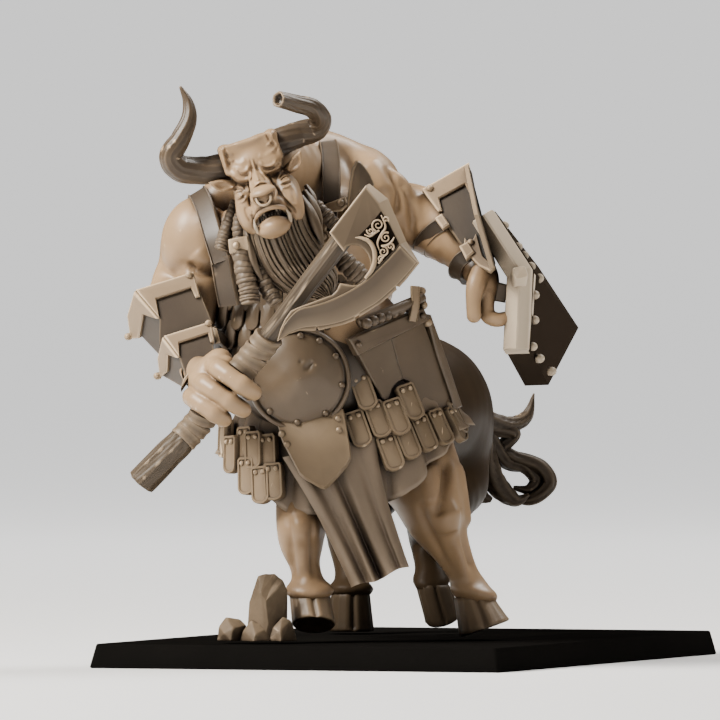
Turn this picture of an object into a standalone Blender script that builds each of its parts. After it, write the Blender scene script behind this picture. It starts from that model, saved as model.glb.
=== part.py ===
"""Bull-centaur tabletop miniature: one cast figure on a rectangular plastic base with rocks.

The figure is laid out along the line it is seen from: across, deep and up, in sixty-fourths
of its own height above the base. It is turned onto the base at the end. The base, the rocks
and the fits between them are in metres.
"""
import math

import bmesh
import bpy
import numpy as np
from mathutils import Matrix, Vector

# Base, as a standard rectangular wargaming base
BASE_WIDTH = 0.0500
BASE_LENGTH = 0.0750
BASE_HEIGHT = 0.0028
BASE_SLOPE = 0.0006

# Fits
REST_GAP = 0.0003

# Figure
FIGURE_HEIGHT = 0.0640
UNIT = FIGURE_HEIGHT / 64.0
VIEW_TURN = math.radians(20.4)
CORE_VOXEL = 0.62 * UNIT
CORE_FACES = 2350

# Rocks
ROCK_HEIGHT = 0.0077

for old in list(bpy.data.objects):
    bpy.data.objects.remove(old, do_unlink=True)


def make_mesh(name, points, faces):
    """Make an object from points and faces, with its faces turned outward."""
    mesh = bpy.data.meshes.new(name)
    mesh.from_pydata([tuple(float(c) for c in p) for p in points], [], faces)
    mesh.update()
    work = bmesh.new()
    work.from_mesh(mesh)
    bmesh.ops.recalc_face_normals(work, faces=work.faces)
    work.to_mesh(mesh)
    work.free()
    piece = bpy.data.objects.new(name, mesh)
    bpy.context.scene.collection.objects.link(piece)
    return piece


def side_axes(direction, hint=(0.0, 0.0, 1.0)):
    """Two axes square to a direction."""
    line = Vector(direction).normalized()
    guide = Vector(hint)
    if abs(line.dot(guide)) > 0.95:
        guide = Vector((0.0, 1.0, 0.0))
    first = guide.cross(line).normalized()
    second = line.cross(first).normalized()
    return first, second


def loft(name, rings):
    """Close a run of rings with the same number of points into a solid."""
    count = len(rings[0])
    points = [p for ring in rings for p in ring]
    faces = []
    for row in range(len(rings) - 1):
        for k in range(count):
            n = (k + 1) % count
            faces.append((row * count + k, row * count + n,
                          (row + 1) * count + n, (row + 1) * count + k))
    faces.append(tuple(range(count)))
    last = (len(rings) - 1) * count
    faces.append(tuple(last + k for k in reversed(range(count))))
    return make_mesh(name, points, faces)


def smooth_path(knots, steps):
    """Points on a smooth curve through the knots; each knot is place and radius."""
    knots = np.array(knots, dtype=float)
    padded = np.vstack([2 * knots[0] - knots[1], knots, 2 * knots[-1] - knots[-2]])
    out = []
    for i in range(len(knots) - 1):
        a, b, c, d = padded[i:i + 4]
        for s in range(steps):
            t = s / steps
            out.append(0.5 * ((2 * b) + (c - a) * t + (2 * a - 5 * b + 4 * c - d) * t * t
                              + (3 * b - a - 3 * c + d) * t ** 3))
    out.append(knots[-1])
    return np.array(out)


def tube(name, knots, sides=8, steps=2, flat=1.0, round_ends=False):
    """Tube of changing radius along a smooth path of (across, deep, up, radius)."""
    path = smooth_path(knots, steps)
    rings = []
    first = None
    for i, stop in enumerate(path):
        ahead = path[min(i + 1, len(path) - 1)][:3]
        behind = path[max(i - 1, 0)][:3]
        line = Vector(ahead - behind).normalized()
        if first is None:
            first, _ = side_axes(line)
        first = (first - line * first.dot(line)).normalized()
        second = line.cross(first).normalized()
        radius = max(stop[3], 0.05)
        ring = []
        for k in range(sides):
            angle = 2 * math.pi * k / sides
            spread = first * (math.cos(angle) * radius) + second * (math.sin(angle) * radius * flat)
            ring.append((Vector(stop[:3]) + spread) * UNIT)
        rings.append(ring)
    if round_ends:
        for end, sign in ((0, -1.0), (-1, 1.0)):
            stop = path[end]
            near = path[1] if end == 0 else path[-2]
            line = Vector(stop[:3] - near[:3]).normalized()
            middle = Vector(stop[:3]) * UNIT
            cap = [middle + (p - middle) * 0.6 + line * stop[3] * 0.75 * UNIT for p in rings[end]]
            if end == 0:
                rings.insert(0, cap)
            else:
                rings.append(cap)
    return loft(name, rings)


def ball(name, place, radii, around=16, up=8, turn=(0.0, 0.0, 0.0)):
    """Ellipsoid with its radii across, deep and up, turned about its middle in degrees."""
    spin = (Matrix.Rotation(math.radians(turn[2]), 3, "Z")
            @ Matrix.Rotation(math.radians(turn[1]), 3, "Y")
            @ Matrix.Rotation(math.radians(turn[0]), 3, "X"))
    points = [spin @ Vector((0, 0, -radii[2]))]
    for row in range(1, up):
        tilt = math.pi * row / up - math.pi / 2
        for k in range(around):
            angle = 2 * math.pi * k / around
            points.append(spin @ Vector((radii[0] * math.cos(tilt) * math.cos(angle),
                                         radii[1] * math.cos(tilt) * math.sin(angle),
                                         radii[2] * math.sin(tilt))))
    points.append(spin @ Vector((0, 0, radii[2])))
    points = [(p + Vector(place)) * UNIT for p in points]
    faces = []
    for k in range(around):
        n = (k + 1) % around
        faces.append((0, 1 + n, 1 + k))
        top = len(points) - 1
        base = 1 + (up - 2) * around
        faces.append((top, base + k, base + n))
    for row in range(up - 2):
        for k in range(around):
            n = (k + 1) % around
            low = 1 + row * around
            faces.append((low + k, low + n, low + around + n, low + around + k))
    return make_mesh(name, points, faces)


def slab(name, corners, back):
    """Plate from its front corners and the step from the front to the back."""
    front = [Vector(c) * UNIT for c in corners]
    step = Vector(back) * UNIT
    rear = [p + step for p in front]
    return loft(name, [front, rear])


def block(name, place, half, axes):
    """Box with its middle, half sizes and three axes."""
    middle = Vector(place)
    a, b, c = (Vector(x).normalized() * h for x, h in zip(axes, half))
    low = [middle - c + sa * a + sb * b for sa, sb in ((-1, -1), (1, -1), (1, 1), (-1, 1))]
    high = [p + 2 * c for p in low]
    return loft(name, [[p * UNIT for p in low], [p * UNIT for p in high]])


def stud(name, place, radius, facing=(0.0, -1.0, 0.0)):
    """Low domed rivet head."""
    line = Vector(facing).normalized()
    first, second = side_axes(line)
    rings = []
    for share, rise in ((1.0, -0.9), (1.0, 0.0), (0.55, 0.75)):
        rings.append([(Vector(place) + line * rise * radius
                       + first * math.cos(math.pi * k / 3) * radius * share
                       + second * math.sin(math.pi * k / 3) * radius * share) * UNIT
                      for k in range(6)])
    return loft(name, rings)


# Flesh of the figure: ellipsoids and tubes that are fused into one skin
core = []
for place, radii, turn in (
        ((-9.6, -14.0, 33.0), (11.0, 9.2, 9.0), (0, 6, 0)),
        ((-12.3, -13.5, 43.5), (10.2, 8.0, 9.0), (0, 8, 0)),
        ((-12.2, -10.5, 49.8), (9.6, 6.6, 6.4), (0, 6, 0)),
        ((-8.3, -12.0, 27.0), (10.2, 9.5, 6.5), (0, 4, 0)),
        ((-17.0, -17.5, 46.5), (5.6, 4.0, 4.6), (0, 8, 0)),
        ((-7.6, -16.5, 47.5), (5.2, 4.0, 4.6), (0, 8, 0)),
        ((-18.3, -12.0, 35.8), (3.7, 4.2, 8.2), (0, 0, 0)),
        ((-24.5, -14.3, 45.6), (3.9, 4.4, 5.0), (0, 10, 0)),
        ((-5.0, -9.6, 51.9), (4.3, 4.9, 4.4), (0, 20, 0)),
        ((-17.2, -26.0, 54.0), (4.1, 4.5, 4.2), (0, 10, 0)),
        ((-17.2, -25.2, 55.8), (3.8, 3.7, 2.2), (0, -14, 0)),
        ((-15.2, -32.2, 47.0), (1.9, 1.9, 1.6), (0, 0, 0)),
        ((-15.8, -29.0, 48.9), (3.2, 3.6, 2.6), (0, 0, 0)),
        ((-18.9, -30.0, 54.2), (1.6, 1.2, 1.0), (0, -14, 0)),
        ((-15.4, -30.2, 55.0), (1.6, 1.2, 1.0), (0, -14, 0)),
        ((7.7, -11.5, 4.9), (2.8, 2.6, 1.3), (0, 22, 0)),
        ((-11.1, -20.6, 5.6), (2.7, 2.6, 1.3), (12, 0, 0)),
        ((-6.5, 12.2, 4.9), (2.7, 2.6, 1.3), (0, 0, 0)),
        ((2.8, 9.6, 6.0), (2.3, 2.4, 1.4), (30, 0, 0)),
        ((-22.3, -28.6, 29.3), (2.5, 2.4, 3.1), (0, 20, 0)),
        ((8.9, -16.0, 40.0), (1.9, 2.2, 2.6), (0, 0, 0))):
    core.append(ball("flesh", place, radii, turn=turn))
for knots in (
        [(-6.5, -9, 23.5, 8.0), (-2.5, 2, 25.0, 8.7), (0.9, 11.5, 25.9, 8.8), (2.0, 17.5, 24.4, 8.2)],
        [(-3.5, 15, 20.5, 6.2), (-6.0, 14, 15.2, 4.0), (-6.9, 16.5, 10.6, 2.5),
         (-6.6, 14.2, 7.4, 2.2), (-6.5, 12.4, 5.2, 2.4)],
        [(4.5, 14, 20.0, 6.0), (3.2, 8.5, 14.8, 3.9), (2.2, 14.6, 11.2, 2.3),
         (2.5, 12.0, 8.4, 1.9), (2.8, 9.8, 6.2, 2.0)],
        [(-0.5, -8, 22.0, 6.0), (2.9, -11, 17.6, 4.0), (3.9, -13, 14.0, 3.25),
         (4.9, -13, 11.0, 2.5), (6.1, -12, 8.0, 1.65), (7.3, -11.6, 5.6, 2.1)],
        [(-9.0, -12, 21.0, 5.5), (-11.4, -17, 16.0, 3.6), (-11.9, -19, 13.2, 2.9),
         (-11.7, -19.5, 10.9, 2.4), (-11.4, -20, 8.1, 1.5), (-11.2, -20.3, 6.4, 1.8)],
        [(-12.4, -12.5, 50.5, 6.8), (-15.0, -18.0, 53.2, 5.4), (-16.6, -23.0, 54.2, 4.4)],
        [(-16.9, -28.5, 52.8, 3.5), (-16.2, -31.2, 51.6, 2.7), (-15.7, -33.0, 50.4, 2.2)],
        [(-24.4, -14.0, 46.0, 4.0), (-24.9, -14.2, 42.4, 3.4), (-26.4, -14.8, 39.2, 3.2)],
        [(-23.8, -15.6, 41.6, 2.4), (-23.3, -17.8, 39.2, 2.5), (-23.0, -21.2, 36.0, 2.0)],
        [(-27.2, -14.8, 39.0, 3.0), (-26.0, -19.0, 35.6, 2.7), (-24.3, -24.6, 31.4, 2.2),
         (-22.6, -27.8, 29.8, 2.5)],
        [(-4.9, -9.5, 51.8, 4.1), (-0.6, -7.8, 49.4, 3.5), (2.0, -8.2, 48.6, 3.6)],
        [(2.0, -8.2, 48.4, 3.7), (4.6, -10.2, 46.6, 3.3), (7.2, -12.8, 44.0, 2.3),
         (8.7, -15.4, 41.8, 2.0)],
        [(8.0, -17.0, 41.5, 1.1), (7.4, -18.2, 39.2, 1.0), (7.5, -18.5, 37.2, 0.9)],
        [(9.0, -17.4, 38.6, 0.9), (10.2, -18.0, 37.0, 0.9), (11.2, -17.4, 37.0, 0.9)],
        [(-20.0, -26.5, 54.3, 2.2), (-21.6, -26.8, 54.2, 1.9)],
        [(-15.8, -25.8, 56.8, 1.9), (-14.9, -25.8, 57.1, 1.8)],
        [(-20.0, -25.2, 52.9, 1.1), (-21.4, -24.8, 52.3, 0.9), (-22.6, -24.4, 51.5, 0.5)],
        [(-13.8, -24.2, 54.0, 1.1), (-12.7, -24.0, 54.8, 0.9), (-11.8, -23.8, 55.6, 0.5)]):
    core.append(tube("flesh", knots, sides=14, steps=3, round_ends=True))

# Fingers of the right hand, curled about the haft
HAFT = [(-30.3, -27.4, 18.4), (-24.6, -28.9, 24.3), (-21.4, -30.2, 28.3), (-18.3, -31.5, 31.9),
        (-14.5, -33.0, 36.7), (-10.0, -35.0, 43.1), (-6.6, -35.6, 47.4)]
GRIP = Vector(HAFT[2])
haft_line = (Vector(HAFT[3]) - Vector(HAFT[1])).normalized()
haft_side = haft_line.cross(Vector((0.0, -1.0, 0.0))).normalized()
haft_face = haft_side.cross(haft_line).normalized()
if haft_face.y > 0:
    haft_face = -haft_face
for finger in range(4):
    middle = GRIP + haft_line * (2.35 - 1.6 * finger)
    knots = []
    for degrees in (-120, -75, -30, 15, 60):
        angle = math.radians(degrees)
        reach = middle - haft_side * (math.sin(angle) * 2.1) * -1.0 + haft_face * math.cos(angle) * 2.1
        knots.append((reach.x, reach.y, reach.z, 0.95))
    core.append(tube("flesh", knots, sides=10, steps=2, round_ends=True))


def apply_modifiers(piece):
    """Bake an object's modifiers into its mesh."""
    graph = bpy.context.evaluated_depsgraph_get()
    baked = bpy.data.meshes.new_from_object(piece.evaluated_get(graph))
    piece.modifiers.clear()
    piece.data = baked


def join(pieces, name):
    """Join objects into one, and remove the others."""
    work = bmesh.new()
    for piece in pieces:
        work.from_mesh(piece.data)
        bpy.data.objects.remove(piece, do_unlink=True)
    mesh = bpy.data.meshes.new(name)
    work.to_mesh(mesh)
    work.free()
    whole = bpy.data.objects.new(name, mesh)
    bpy.context.scene.collection.objects.link(whole)
    return whole


figure = join(core, "figure")
fuse = figure.modifiers.new("fuse", "REMESH")
fuse.mode = "VOXEL"
fuse.voxel_size = CORE_VOXEL
ease = figure.modifiers.new("ease", "SMOOTH")
ease.factor = 0.5
ease.iterations = 3
apply_modifiers(figure)
figure.data.calc_loop_triangles()
thin = figure.modifiers.new("thin", "DECIMATE")
thin.ratio = CORE_FACES / max(len(figure.data.loop_triangles), 1)
apply_modifiers(figure)

# Gear, horns, hair and cloth that are joined onto the flesh
gear = []

# Hooves: cones cut flat, the planted ones down to the resting gap
for low, high, low_radius, high_radius in (
        ((9.1, -12.3, 0.0), (7.9, -11.6, 4.6), 3.0, 2.3),
        ((-6.5, 12.0, 0.0), (-6.5, 12.2, 4.6), 2.6, 2.2)):
    rings = []
    for share in (0.0, 1.0):
        radius = low_radius + (high_radius - low_radius) * share
        middle = Vector(low).lerp(Vector(high), share)
        rings.append([Vector((middle.x + radius * math.cos(math.pi * k / 7),
                              middle.y + radius * math.sin(math.pi * k / 7),
                              middle.z)) * UNIT for k in range(14)])
    gear.append(loft("hoof", rings))
gear.append(tube("hoof", [(-11.1, -20.4, 5.6, 2.2), (-10.9, -21.8, 3.2, 2.5), (-10.7, -23.0, 1.9, 2.6)],
                 sides=12, steps=1))
gear.append(tube("hoof", [(2.9, 9.6, 5.9, 1.9), (3.4, 8.6, 4.0, 1.9), (3.9, 8.2, 2.4, 1.5)],
                 sides=12, steps=1))

# Horns
gear.append(tube("horn", [(-19.6, -26.0, 54.7, 1.9), (-21.6, -27.0, 54.3, 1.75), (-23.8, -27.2, 54.0, 1.6),
                          (-26.0, -28.0, 54.3, 1.5), (-27.0, -28.8, 55.6, 1.35),
                          (-25.9, -28.8, 57.6, 1.15), (-25.0, -28.4, 59.8, 0.9),
                          (-25.1, -28.0, 61.7, 0.6), (-26.0, -28.0, 63.6, 0.15)], sides=10, steps=2))
gear.append(tube("horn", [(-15.8, -26.0, 56.8, 1.6), (-14.0, -25.6, 57.5, 1.6), (-12.2, -25.0, 58.2, 1.5),
                          (-10.5, -25.0, 58.6, 1.35), (-9.9, -26.2, 59.9, 1.2),
                          (-10.9, -28.0, 61.1, 1.1), (-12.8, -30.0, 61.6, 1.0),
                          (-14.8, -32.0, 62.1, 0.95)], sides=10, steps=2))

# Beard of hanging strands, and ringlets at the sides
STRANDS = 9
for strand in range(STRANDS):
    share = strand / (STRANDS - 1)
    top = (-18.3 + 7.2 * share, -28.6 - 2.6 * math.sin(math.pi * share), 48.4 - 1.2 * math.sin(math.pi * share))
    low = (-17.2 + 8.8 * share, -29.6 - 2.6 * math.sin(math.pi * share), 40.2 - 2.4 * math.sin(math.pi * share))
    sway = 0.45 * math.sin(2.1 * strand)
    middle = ((top[0] + low[0]) / 2 + sway, (top[1] + low[1]) / 2 - 0.8, (top[2] + low[2]) / 2)
    gear.append(tube("strand", [top + (0.7,), middle + (0.68,), low + (0.3,)], sides=6, steps=2))
gear.append(tube("beard_bulk", [(-14.8, -28.6, 48.0, 3.2), (-13.8, -28.6, 44.0, 3.4), (-12.6, -28.4, 40.6, 2.4)],
                 sides=10, steps=1, flat=0.7))
for knots in (
        [(-20.9, -26.2, 49.4, 0.9), (-20.9, -26.6, 46.6, 0.95), (-20.2, -27.4, 44.6, 0.8)],
        [(-18.8, -28.6, 45.2, 1.35), (-18.6, -29.2, 42.0, 1.6), (-18.0, -29.4, 38.8, 1.6)],
        [(-10.6, -23.0, 51.0, 1.2), (-9.4, -22.6, 48.8, 1.2), (-8.7, -22.0, 46.0, 1.0)]):
    gear.append(tube("ringlet", knots, sides=8, steps=3))
gear.append(block("clamp", (-19.4, -27.6, 45.3), (1.35, 1.3, 1.0),
                  ((1, 0, 0.2), (0, 1, 0), (-0.2, 0, 1))))

# Skirt cloth: a flared bell, its hem higher toward the rear
SKIRT_MIDDLE = (-7.2, -11.0)


def skirt_place(angle, share):
    """Place on the skirt at an angle and a share of the way down."""
    reach_u = 10.2 + 3.7 * share
    reach_d = 10.4 + 2.9 * share
    u = SKIRT_MIDDLE[0] + reach_u * math.cos(angle)
    d = SKIRT_MIDDLE[1] + reach_d * math.sin(angle)
    hem = 14.4 + max(0.0, (u + 6.5) * 0.62) + max(0.0, (-13.6 - u) * 0.85) + max(0.0, (d + 4.0) * 0.22)
    top = 31.0
    return Vector((u, d, top + (min(hem, 24.5) - top) * share))


skirt_rings = []
for share in (0.0, 0.5, 1.0):
    ring = []
    for k in range(32):
        angle = 2 * math.pi * k / 32
        ruffle = 1.0 + 0.035 * share * math.cos(math.pi * k)
        place = skirt_place(angle, share)
        middle = Vector((SKIRT_MIDDLE[0], SKIRT_MIDDLE[1], place.z))
        ring.append((middle + (place - middle) * ruffle) * UNIT)
    skirt_rings.append(ring)
gear.append(loft("skirt", skirt_rings))

# Loincloth with hanging folds
COLUMNS = 12
cloth_rings = []
for column in range(COLUMNS + 1):
    share = column / COLUMNS
    wave = 0.55 * math.sin(share * math.pi * 5.0)
    top = Vector((-14.2 + 12.6 * share, -23.6 + wave * 0.4 + 2.6 * share ** 2, 20.5 + 3.0 * share))
    low = Vector((-6.4 + 6.4 * share, -22.0 + wave + 3.0 * share ** 2, 6.1 + 2.3 * share))
    bend = top.lerp(low, 0.5) + Vector((0.35 * math.sin(share * math.pi), wave * 0.3, 0.0))
    thick = Vector((0.0, 1.3, 0.0))
    cloth_rings.append([p * UNIT for p in (top, bend, low, low + thick, bend + thick, top + thick)])
gear.append(loft("loincloth", cloth_rings))

# Lamellae of the skirt, in rows that overlap
PLATE_LENGTH = 4.4
PLATE_WIDTH = 2.25
for u, h, row in (
        (-5.7, 24.3, 0), (-5.2, 28.6, 1), (-3.6, 25.4, 0), (-2.2, 21.6, 0), (-1.7, 25.7, 1),
        (-0.3, 27.4, 1), (1.4, 23.8, 0), (3.1, 24.5, 0), (4.8, 24.8, 0), (6.1, 25.7, 0),
        (-15.5, 21.5, 0), (-16.8, 21.8, 1), (-17.9, 22.3, 0), (-14.9, 18.2, 0), (-16.3, 17.8, 0),
        (-17.8, 18.8, 0), (-19.2, 21.2, 1), (-20.4, 23.0, 1), (-20.9, 23.0, 0)):
    share = min(1.0, (31.0 - h) / 13.5)
    reach_u = 10.2 + 3.7 * share
    reach_d = 10.4 + 2.9 * share
    across = max(-0.97, min(0.97, (u - SKIRT_MIDDLE[0]) / reach_u))
    angle = -math.acos(across)
    outward = Vector((math.cos(angle) / reach_u, math.sin(angle) / reach_d, 0.0)).normalized()
    u = SKIRT_MIDDLE[0] + reach_u * math.cos(angle)
    deep = SKIRT_MIDDLE[1] + reach_d * math.sin(angle)
    middle = Vector((u, deep, h)) + outward * (0.2 + 0.35 * row)
    lean = 0.34 if u > -8 else 0.12
    down = (Vector((lean, 0.0, -1.0)) + outward * 0.16).normalized()
    side = outward.cross(down).normalized()
    outline = []
    for a, b in ((-1, -1), (1, -1), (1, 0.72), (0.6, 1.0), (-0.6, 1.0), (-1, 0.72)):
        outline.append(middle + side * a * PLATE_WIDTH / 2 + down * b * PLATE_LENGTH / 2
                       + outward * 0.45)
    gear.append(slab("lamella", outline, -outward * 1.3))

# Round belly plate, domed with a rolled rim and rivets
PLATE_MIDDLE = Vector((-12.4, -23.2, 30.0))
PLATE_RADIUS = 5.85
dome = []
for share, rise in ((1.0, -1.4), (1.0, 0.15), (0.965, 0.45), (0.9, 0.45), (0.86, 0.2), (0.62, 1.4), (0.3, 2.15)):
    dome.append([(PLATE_MIDDLE + Vector((math.cos(math.pi * k / 12) * PLATE_RADIUS * share, -rise,
                                         math.sin(math.pi * k / 12) * PLATE_RADIUS * share))) * UNIT
                 for k in range(24)])
gear.append(loft("belly_plate", dome))
for degrees in (88, 62, 32, -8, -52, -92, -132):
    angle = math.radians(degrees)
    gear.append(stud("rivet", (PLATE_MIDDLE.x + 4.75 * math.cos(angle), PLATE_MIDDLE.y - 0.5,
                               PLATE_MIDDLE.z + 4.75 * math.sin(angle)), 0.42))

# Pointed plate under the belly plate
gear.append(slab("tasset", [(-14.9, -24.9, 25.2), (-7.5, -24.9, 26.6), (-6.9, -25.2, 21.2),
                            (-9.3, -25.6, 17.7), (-12.6, -25.5, 19.3)], (0.2, 1.3, 0.0)))
for u, h in ((-14.4, 23.9), (-13.8, 22.5), (-8.1, 25.5), (-8.0, 24.2)):
    gear.append(stud("rivet", (u, -25.3, h), 0.45))


def hip(u, h):
    """Place on the hip plate, which bends back round the hip."""
    return (u, -24.2 + 0.62 * (u + 6.8) + 0.018 * (u + 6.8) ** 2, h)


gear.append(slab("hip_plate", [hip(-5.5, 33.0), hip(1.7, 36.6), hip(3.4, 34.2), hip(5.4, 26.3),
                               hip(3.4, 25.4), hip(1.4, 28.4), hip(-0.6, 29.7), hip(-2.4, 27.3)],
               (-0.9, 2.0, 0.0)))
gear.append(slab("hip_band", [hip(-6.9, 34.6), hip(1.6, 38.1), hip(2.3, 36.7), hip(-5.9, 32.6)],
               (-0.9, 2.2, 0.0)))
gear.append(slab("hip_trim", [hip(1.7, 37.4), hip(2.6, 37.1), hip(6.1, 26.7), hip(5.1, 26.3)],
               (-0.9, 1.8, 0.0)))

# Straps over the shoulders
for knots in (
        [(-23.3, -15.5, 50.9), (-22.8, -18.4, 49.2), (-21.8, -20.6, 46.4), (-20.6, -21.6, 43.0)],
        [(-9.8, -12.6, 55.6), (-9.0, -16.8, 54.6), (-8.4, -19.6, 51.6), (-8.6, -20.8, 47.6)]):
    rings = []
    for i, stop in enumerate(knots):
        ahead = Vector(knots[min(i + 1, 3)]) - Vector(knots[max(i - 1, 0)])
        side = Vector((1.0, 0.15, 0.0))
        rise = side.cross(ahead).normalized()
        middle = Vector(stop)
        rings.append([(middle + side * a + rise * b) * UNIT
                      for a, b in ((-1.15, -0.9), (1.15, -0.9), (1.15, 0.5), (-1.15, 0.5))])
    gear.append(loft("strap", rings))

# Forearm plates: shells of two planes that meet at a ridge, the lower one on top of the upper
def forearm_shell(name, top, low, swell):
    """Shell between two cross-sections, each of left edge, ridge and right edge."""
    rings = []
    for section in (top, low):
        left, ridge, right = (Vector(p) for p in section)
        middle = (left + right) / 2 + Vector((0.6, 1.6, -0.4))
        outer = [middle + (p - middle) * swell for p in (left, ridge, right)]
        rings.append([p * UNIT for p in outer + [right.lerp(middle, 0.45), left.lerp(middle, 0.45)]])
    return loft(name, rings)


RIGHT_TOP = ((-32.2, -14.0, 37.4), (-31.3, -19.5, 40.2), (-24.5, -18.5, 42.1))
RIGHT_TOP_LOW = ((-31.4, -15.5, 34.6), (-28.0, -22.4, 34.0), (-22.5, -22.5, 36.5))
RIGHT_MIDDLE = ((-28.6, -19.5, 33.2), (-27.8, -23.5, 34.9), (-22.5, -22.5, 36.5))
RIGHT_LOW = ((-28.2, -22.0, 30.0), (-26.0, -28.0, 28.8), (-22.0, -27.4, 33.0))
LEFT_TOP = ((7.9, -6.4, 53.6), (7.2, -10.5, 54.6), (1.8, -11.5, 51.5))
LEFT_LOW = ((11.0, -13.4, 42.9), (10.1, -17.0, 42.8), (6.4, -17.0, 45.2))
gear.append(forearm_shell("vambrace", RIGHT_TOP, RIGHT_TOP_LOW, 0.99))
gear.append(forearm_shell("vambrace", RIGHT_MIDDLE, RIGHT_LOW, 1.0))
gear.append(forearm_shell("vambrace_left", LEFT_TOP, LEFT_LOW, 1.0))

# Axe
haft_radii = (1.62, 1.45, 1.15, 1.12, 1.12, 1.15, 1.2)
gear.append(tube("haft", [place + (radius,) for place, radius in zip(HAFT, haft_radii)], sides=8, steps=1))
haft_curve = smooth_path(HAFT, 8)
for first, last in ((8, 13), (23, 30)):
    gear.append(tube("wrap", [tuple(haft_curve[first]) + (1.6,), tuple(haft_curve[(first + last) // 2]) + (1.65,),
                              tuple(haft_curve[last]) + (1.5,)], sides=10, steps=2))
SOCKET = Vector((-5.6, -36.2, 48.4))
gear.append(block("socket", SOCKET, (1.45, 1.9, 3.9), (haft_side, haft_face, haft_line)))
gear.append(tube("spike", [(-6.4, -35.0, 50.6, 1.0), (-5.6, -35.4, 55.2, 0.1)], sides=6, steps=1))
BLADE_FACE = -37.4
blade = [(-8.0, 45.6), (-2.4, 51.2), (1.4, 43.6), (-1.0, 40.4), (-3.6, 38.5), (-6.6, 36.9), (-9.8, 35.9),
         (-12.6, 35.6), (-15.0, 35.1), (-13.8, 37.3), (-12.6, 39.0), (-10.0, 39.9), (-7.5, 41.4)]
notch = [(-6.3 + 1.95 * math.cos(math.radians(a)), 43.3 + 1.95 * math.sin(math.radians(a)))
         for a in (-90, -50, -10, 40, 90)]
outline = [Vector((u, BLADE_FACE, h)) for u, h in blade + notch]
ridge = Vector((-5.4, -36.2, 42.8))
front = [p * UNIT for p in outline]
gear.append(loft("blade", [[p + Vector((0, 0.0, 0)) * UNIT for p in front],
                           [p + Vector((0, 1.2, 0)) * UNIT for p in front]]))

# Shield: a thick slab folded in the middle, seen near edge-on, with a boss, rivets and a grip
outer = (Vector((9.8, -18.0, 49.5)), Vector((14.2, -18.0, 42.8)), Vector((13.9, -18.0, 33.4)))
far = (Vector((15.3, -3.0, 42.6)), Vector((19.9, -2.5, 35.6)), Vector((16.4, -4.5, 29.0)))
inner = (Vector((-2.4, 0.0, -1.5)), Vector((-2.8, 0.0, -1.1)), Vector((-2.9, 0.0, -0.1)))
rings = []
for i in range(3):
    rise = Vector((0.0, -0.5, 0.0))
    rings.append([p * UNIT for p in (outer[i], outer[i] + inner[i] * 0.5 + rise, outer[i] + inner[i],
                                     far[i] + inner[i], far[i])])
gear.append(loft("shield", rings))
gear.append(block("boss", (13.0, -18.8, 42.2), (0.85, 0.7, 0.85), ((1, 0, 0.25), (0, 1, 0), (-0.25, 0, 1))))
gear.append(block("grip", (10.9, -15.0, 39.4), (0.8, 2.2, 1.7), ((1, 0, 0), (0, 1, 0), (0, 0, 1))))
for i in range(2):
    for share in (0.12, 0.38, 0.64, 0.9):
        near_edge = outer[i].lerp(outer[i + 1], share)
        away = far[i].lerp(far[i + 1], share)
        facing = (outer[i + 1] - outer[i]).cross(far[i] - outer[i]).normalized()
        if facing.x < 0:
            facing = -facing
        gear.append(stud("rivet", tuple(near_edge.lerp(away, 0.07)), 0.5, facing))

# Tail: thick locks that curl
for knots in (
        [(6.8, 21.0, 25.0, 1.5), (9.8, 24.0, 24.2, 1.1), (12.4, 26.0, 23.9, 0.9),
         (14.2, 27.0, 24.8, 0.7), (15.0, 27.0, 27.4, 0.2)],
        [(9.4, 24.0, 24.4, 1.7), (12.4, 26.2, 23.0, 1.3), (11.4, 26.6, 20.4, 1.2),
         (14.2, 27.2, 19.4, 1.4), (16.9, 28.0, 17.4, 1.2), (14.6, 27.6, 15.4, 1.0),
         (11.6, 27.0, 15.4, 0.5)],
        [(8.4, 23.6, 23.0, 2.2), (9.0, 24.6, 19.6, 2.4), (10.4, 25.4, 16.8, 2.0),
         (12.6, 26.2, 15.2, 1.2), (13.8, 26.6, 16.4, 0.5)],
        [(7.4, 23.0, 22.0, 2.2), (7.6, 24.0, 18.6, 2.2), (8.8, 24.4, 15.8, 1.2), (9.6, 24.6, 15.0, 0.5)]):
    gear.append(tube("lock", knots, sides=7, steps=2))

# Scales on the belly
for row in range(4):
    for column in range(5 - row // 2):
        u = -20.4 + 2.2 * column + 0.9 * (row % 2)
        h = 40.4 - 2.0 * row
        deep = -13.4 - 8.2 * math.sqrt(max(0.05, 1 - ((u + 9.8) / 11.6) ** 2))
        outline = [Vector((u + 1.15 * math.sin(a), deep - 0.5, h - 1.25 * math.cos(a) * (1.0 if math.cos(a) > 0 else 0.6)))
                   for a in (math.radians(x) for x in (-110, -60, -20, 20, 60, 110))]
        gear.append(slab("scale", outline, (0.0, 1.4, 0.0)))

# Join all to the flesh
group = bpy.data.collections.new("gear")
for piece in gear:
    for home in list(piece.users_collection):
        home.objects.unlink(piece)
    group.objects.link(piece)
bpy.context.scene.collection.children.link(group)
union = figure.modifiers.new("union", "BOOLEAN")
union.operation = "UNION"
union.operand_type = "COLLECTION"
union.collection = group
union.solver = "EXACT"
union.use_self = True
apply_modifiers(figure)
for piece in gear:
    bpy.data.objects.remove(piece, do_unlink=True)
bpy.data.collections.remove(group)


def mend(work):
    """Cut out the few faces round an edge that isn't shared by two faces, and fill the holes."""
    for _ in range(4):
        bad = [e for e in work.edges if len(e.link_faces) != 2]
        if not bad:
            return
        faces = {f for e in bad for v in e.verts for f in v.link_faces}
        bmesh.ops.delete(work, geom=list(faces), context="FACES")
        loose = [v for v in work.verts if not v.link_faces]
        bmesh.ops.delete(work, geom=loose, context="VERTS")
        rim = [e for e in work.edges if len(e.link_faces) == 1]
        bmesh.ops.holes_fill(work, edges=rim, sides=0)
        bmesh.ops.triangulate(work, faces=work.faces)


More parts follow.
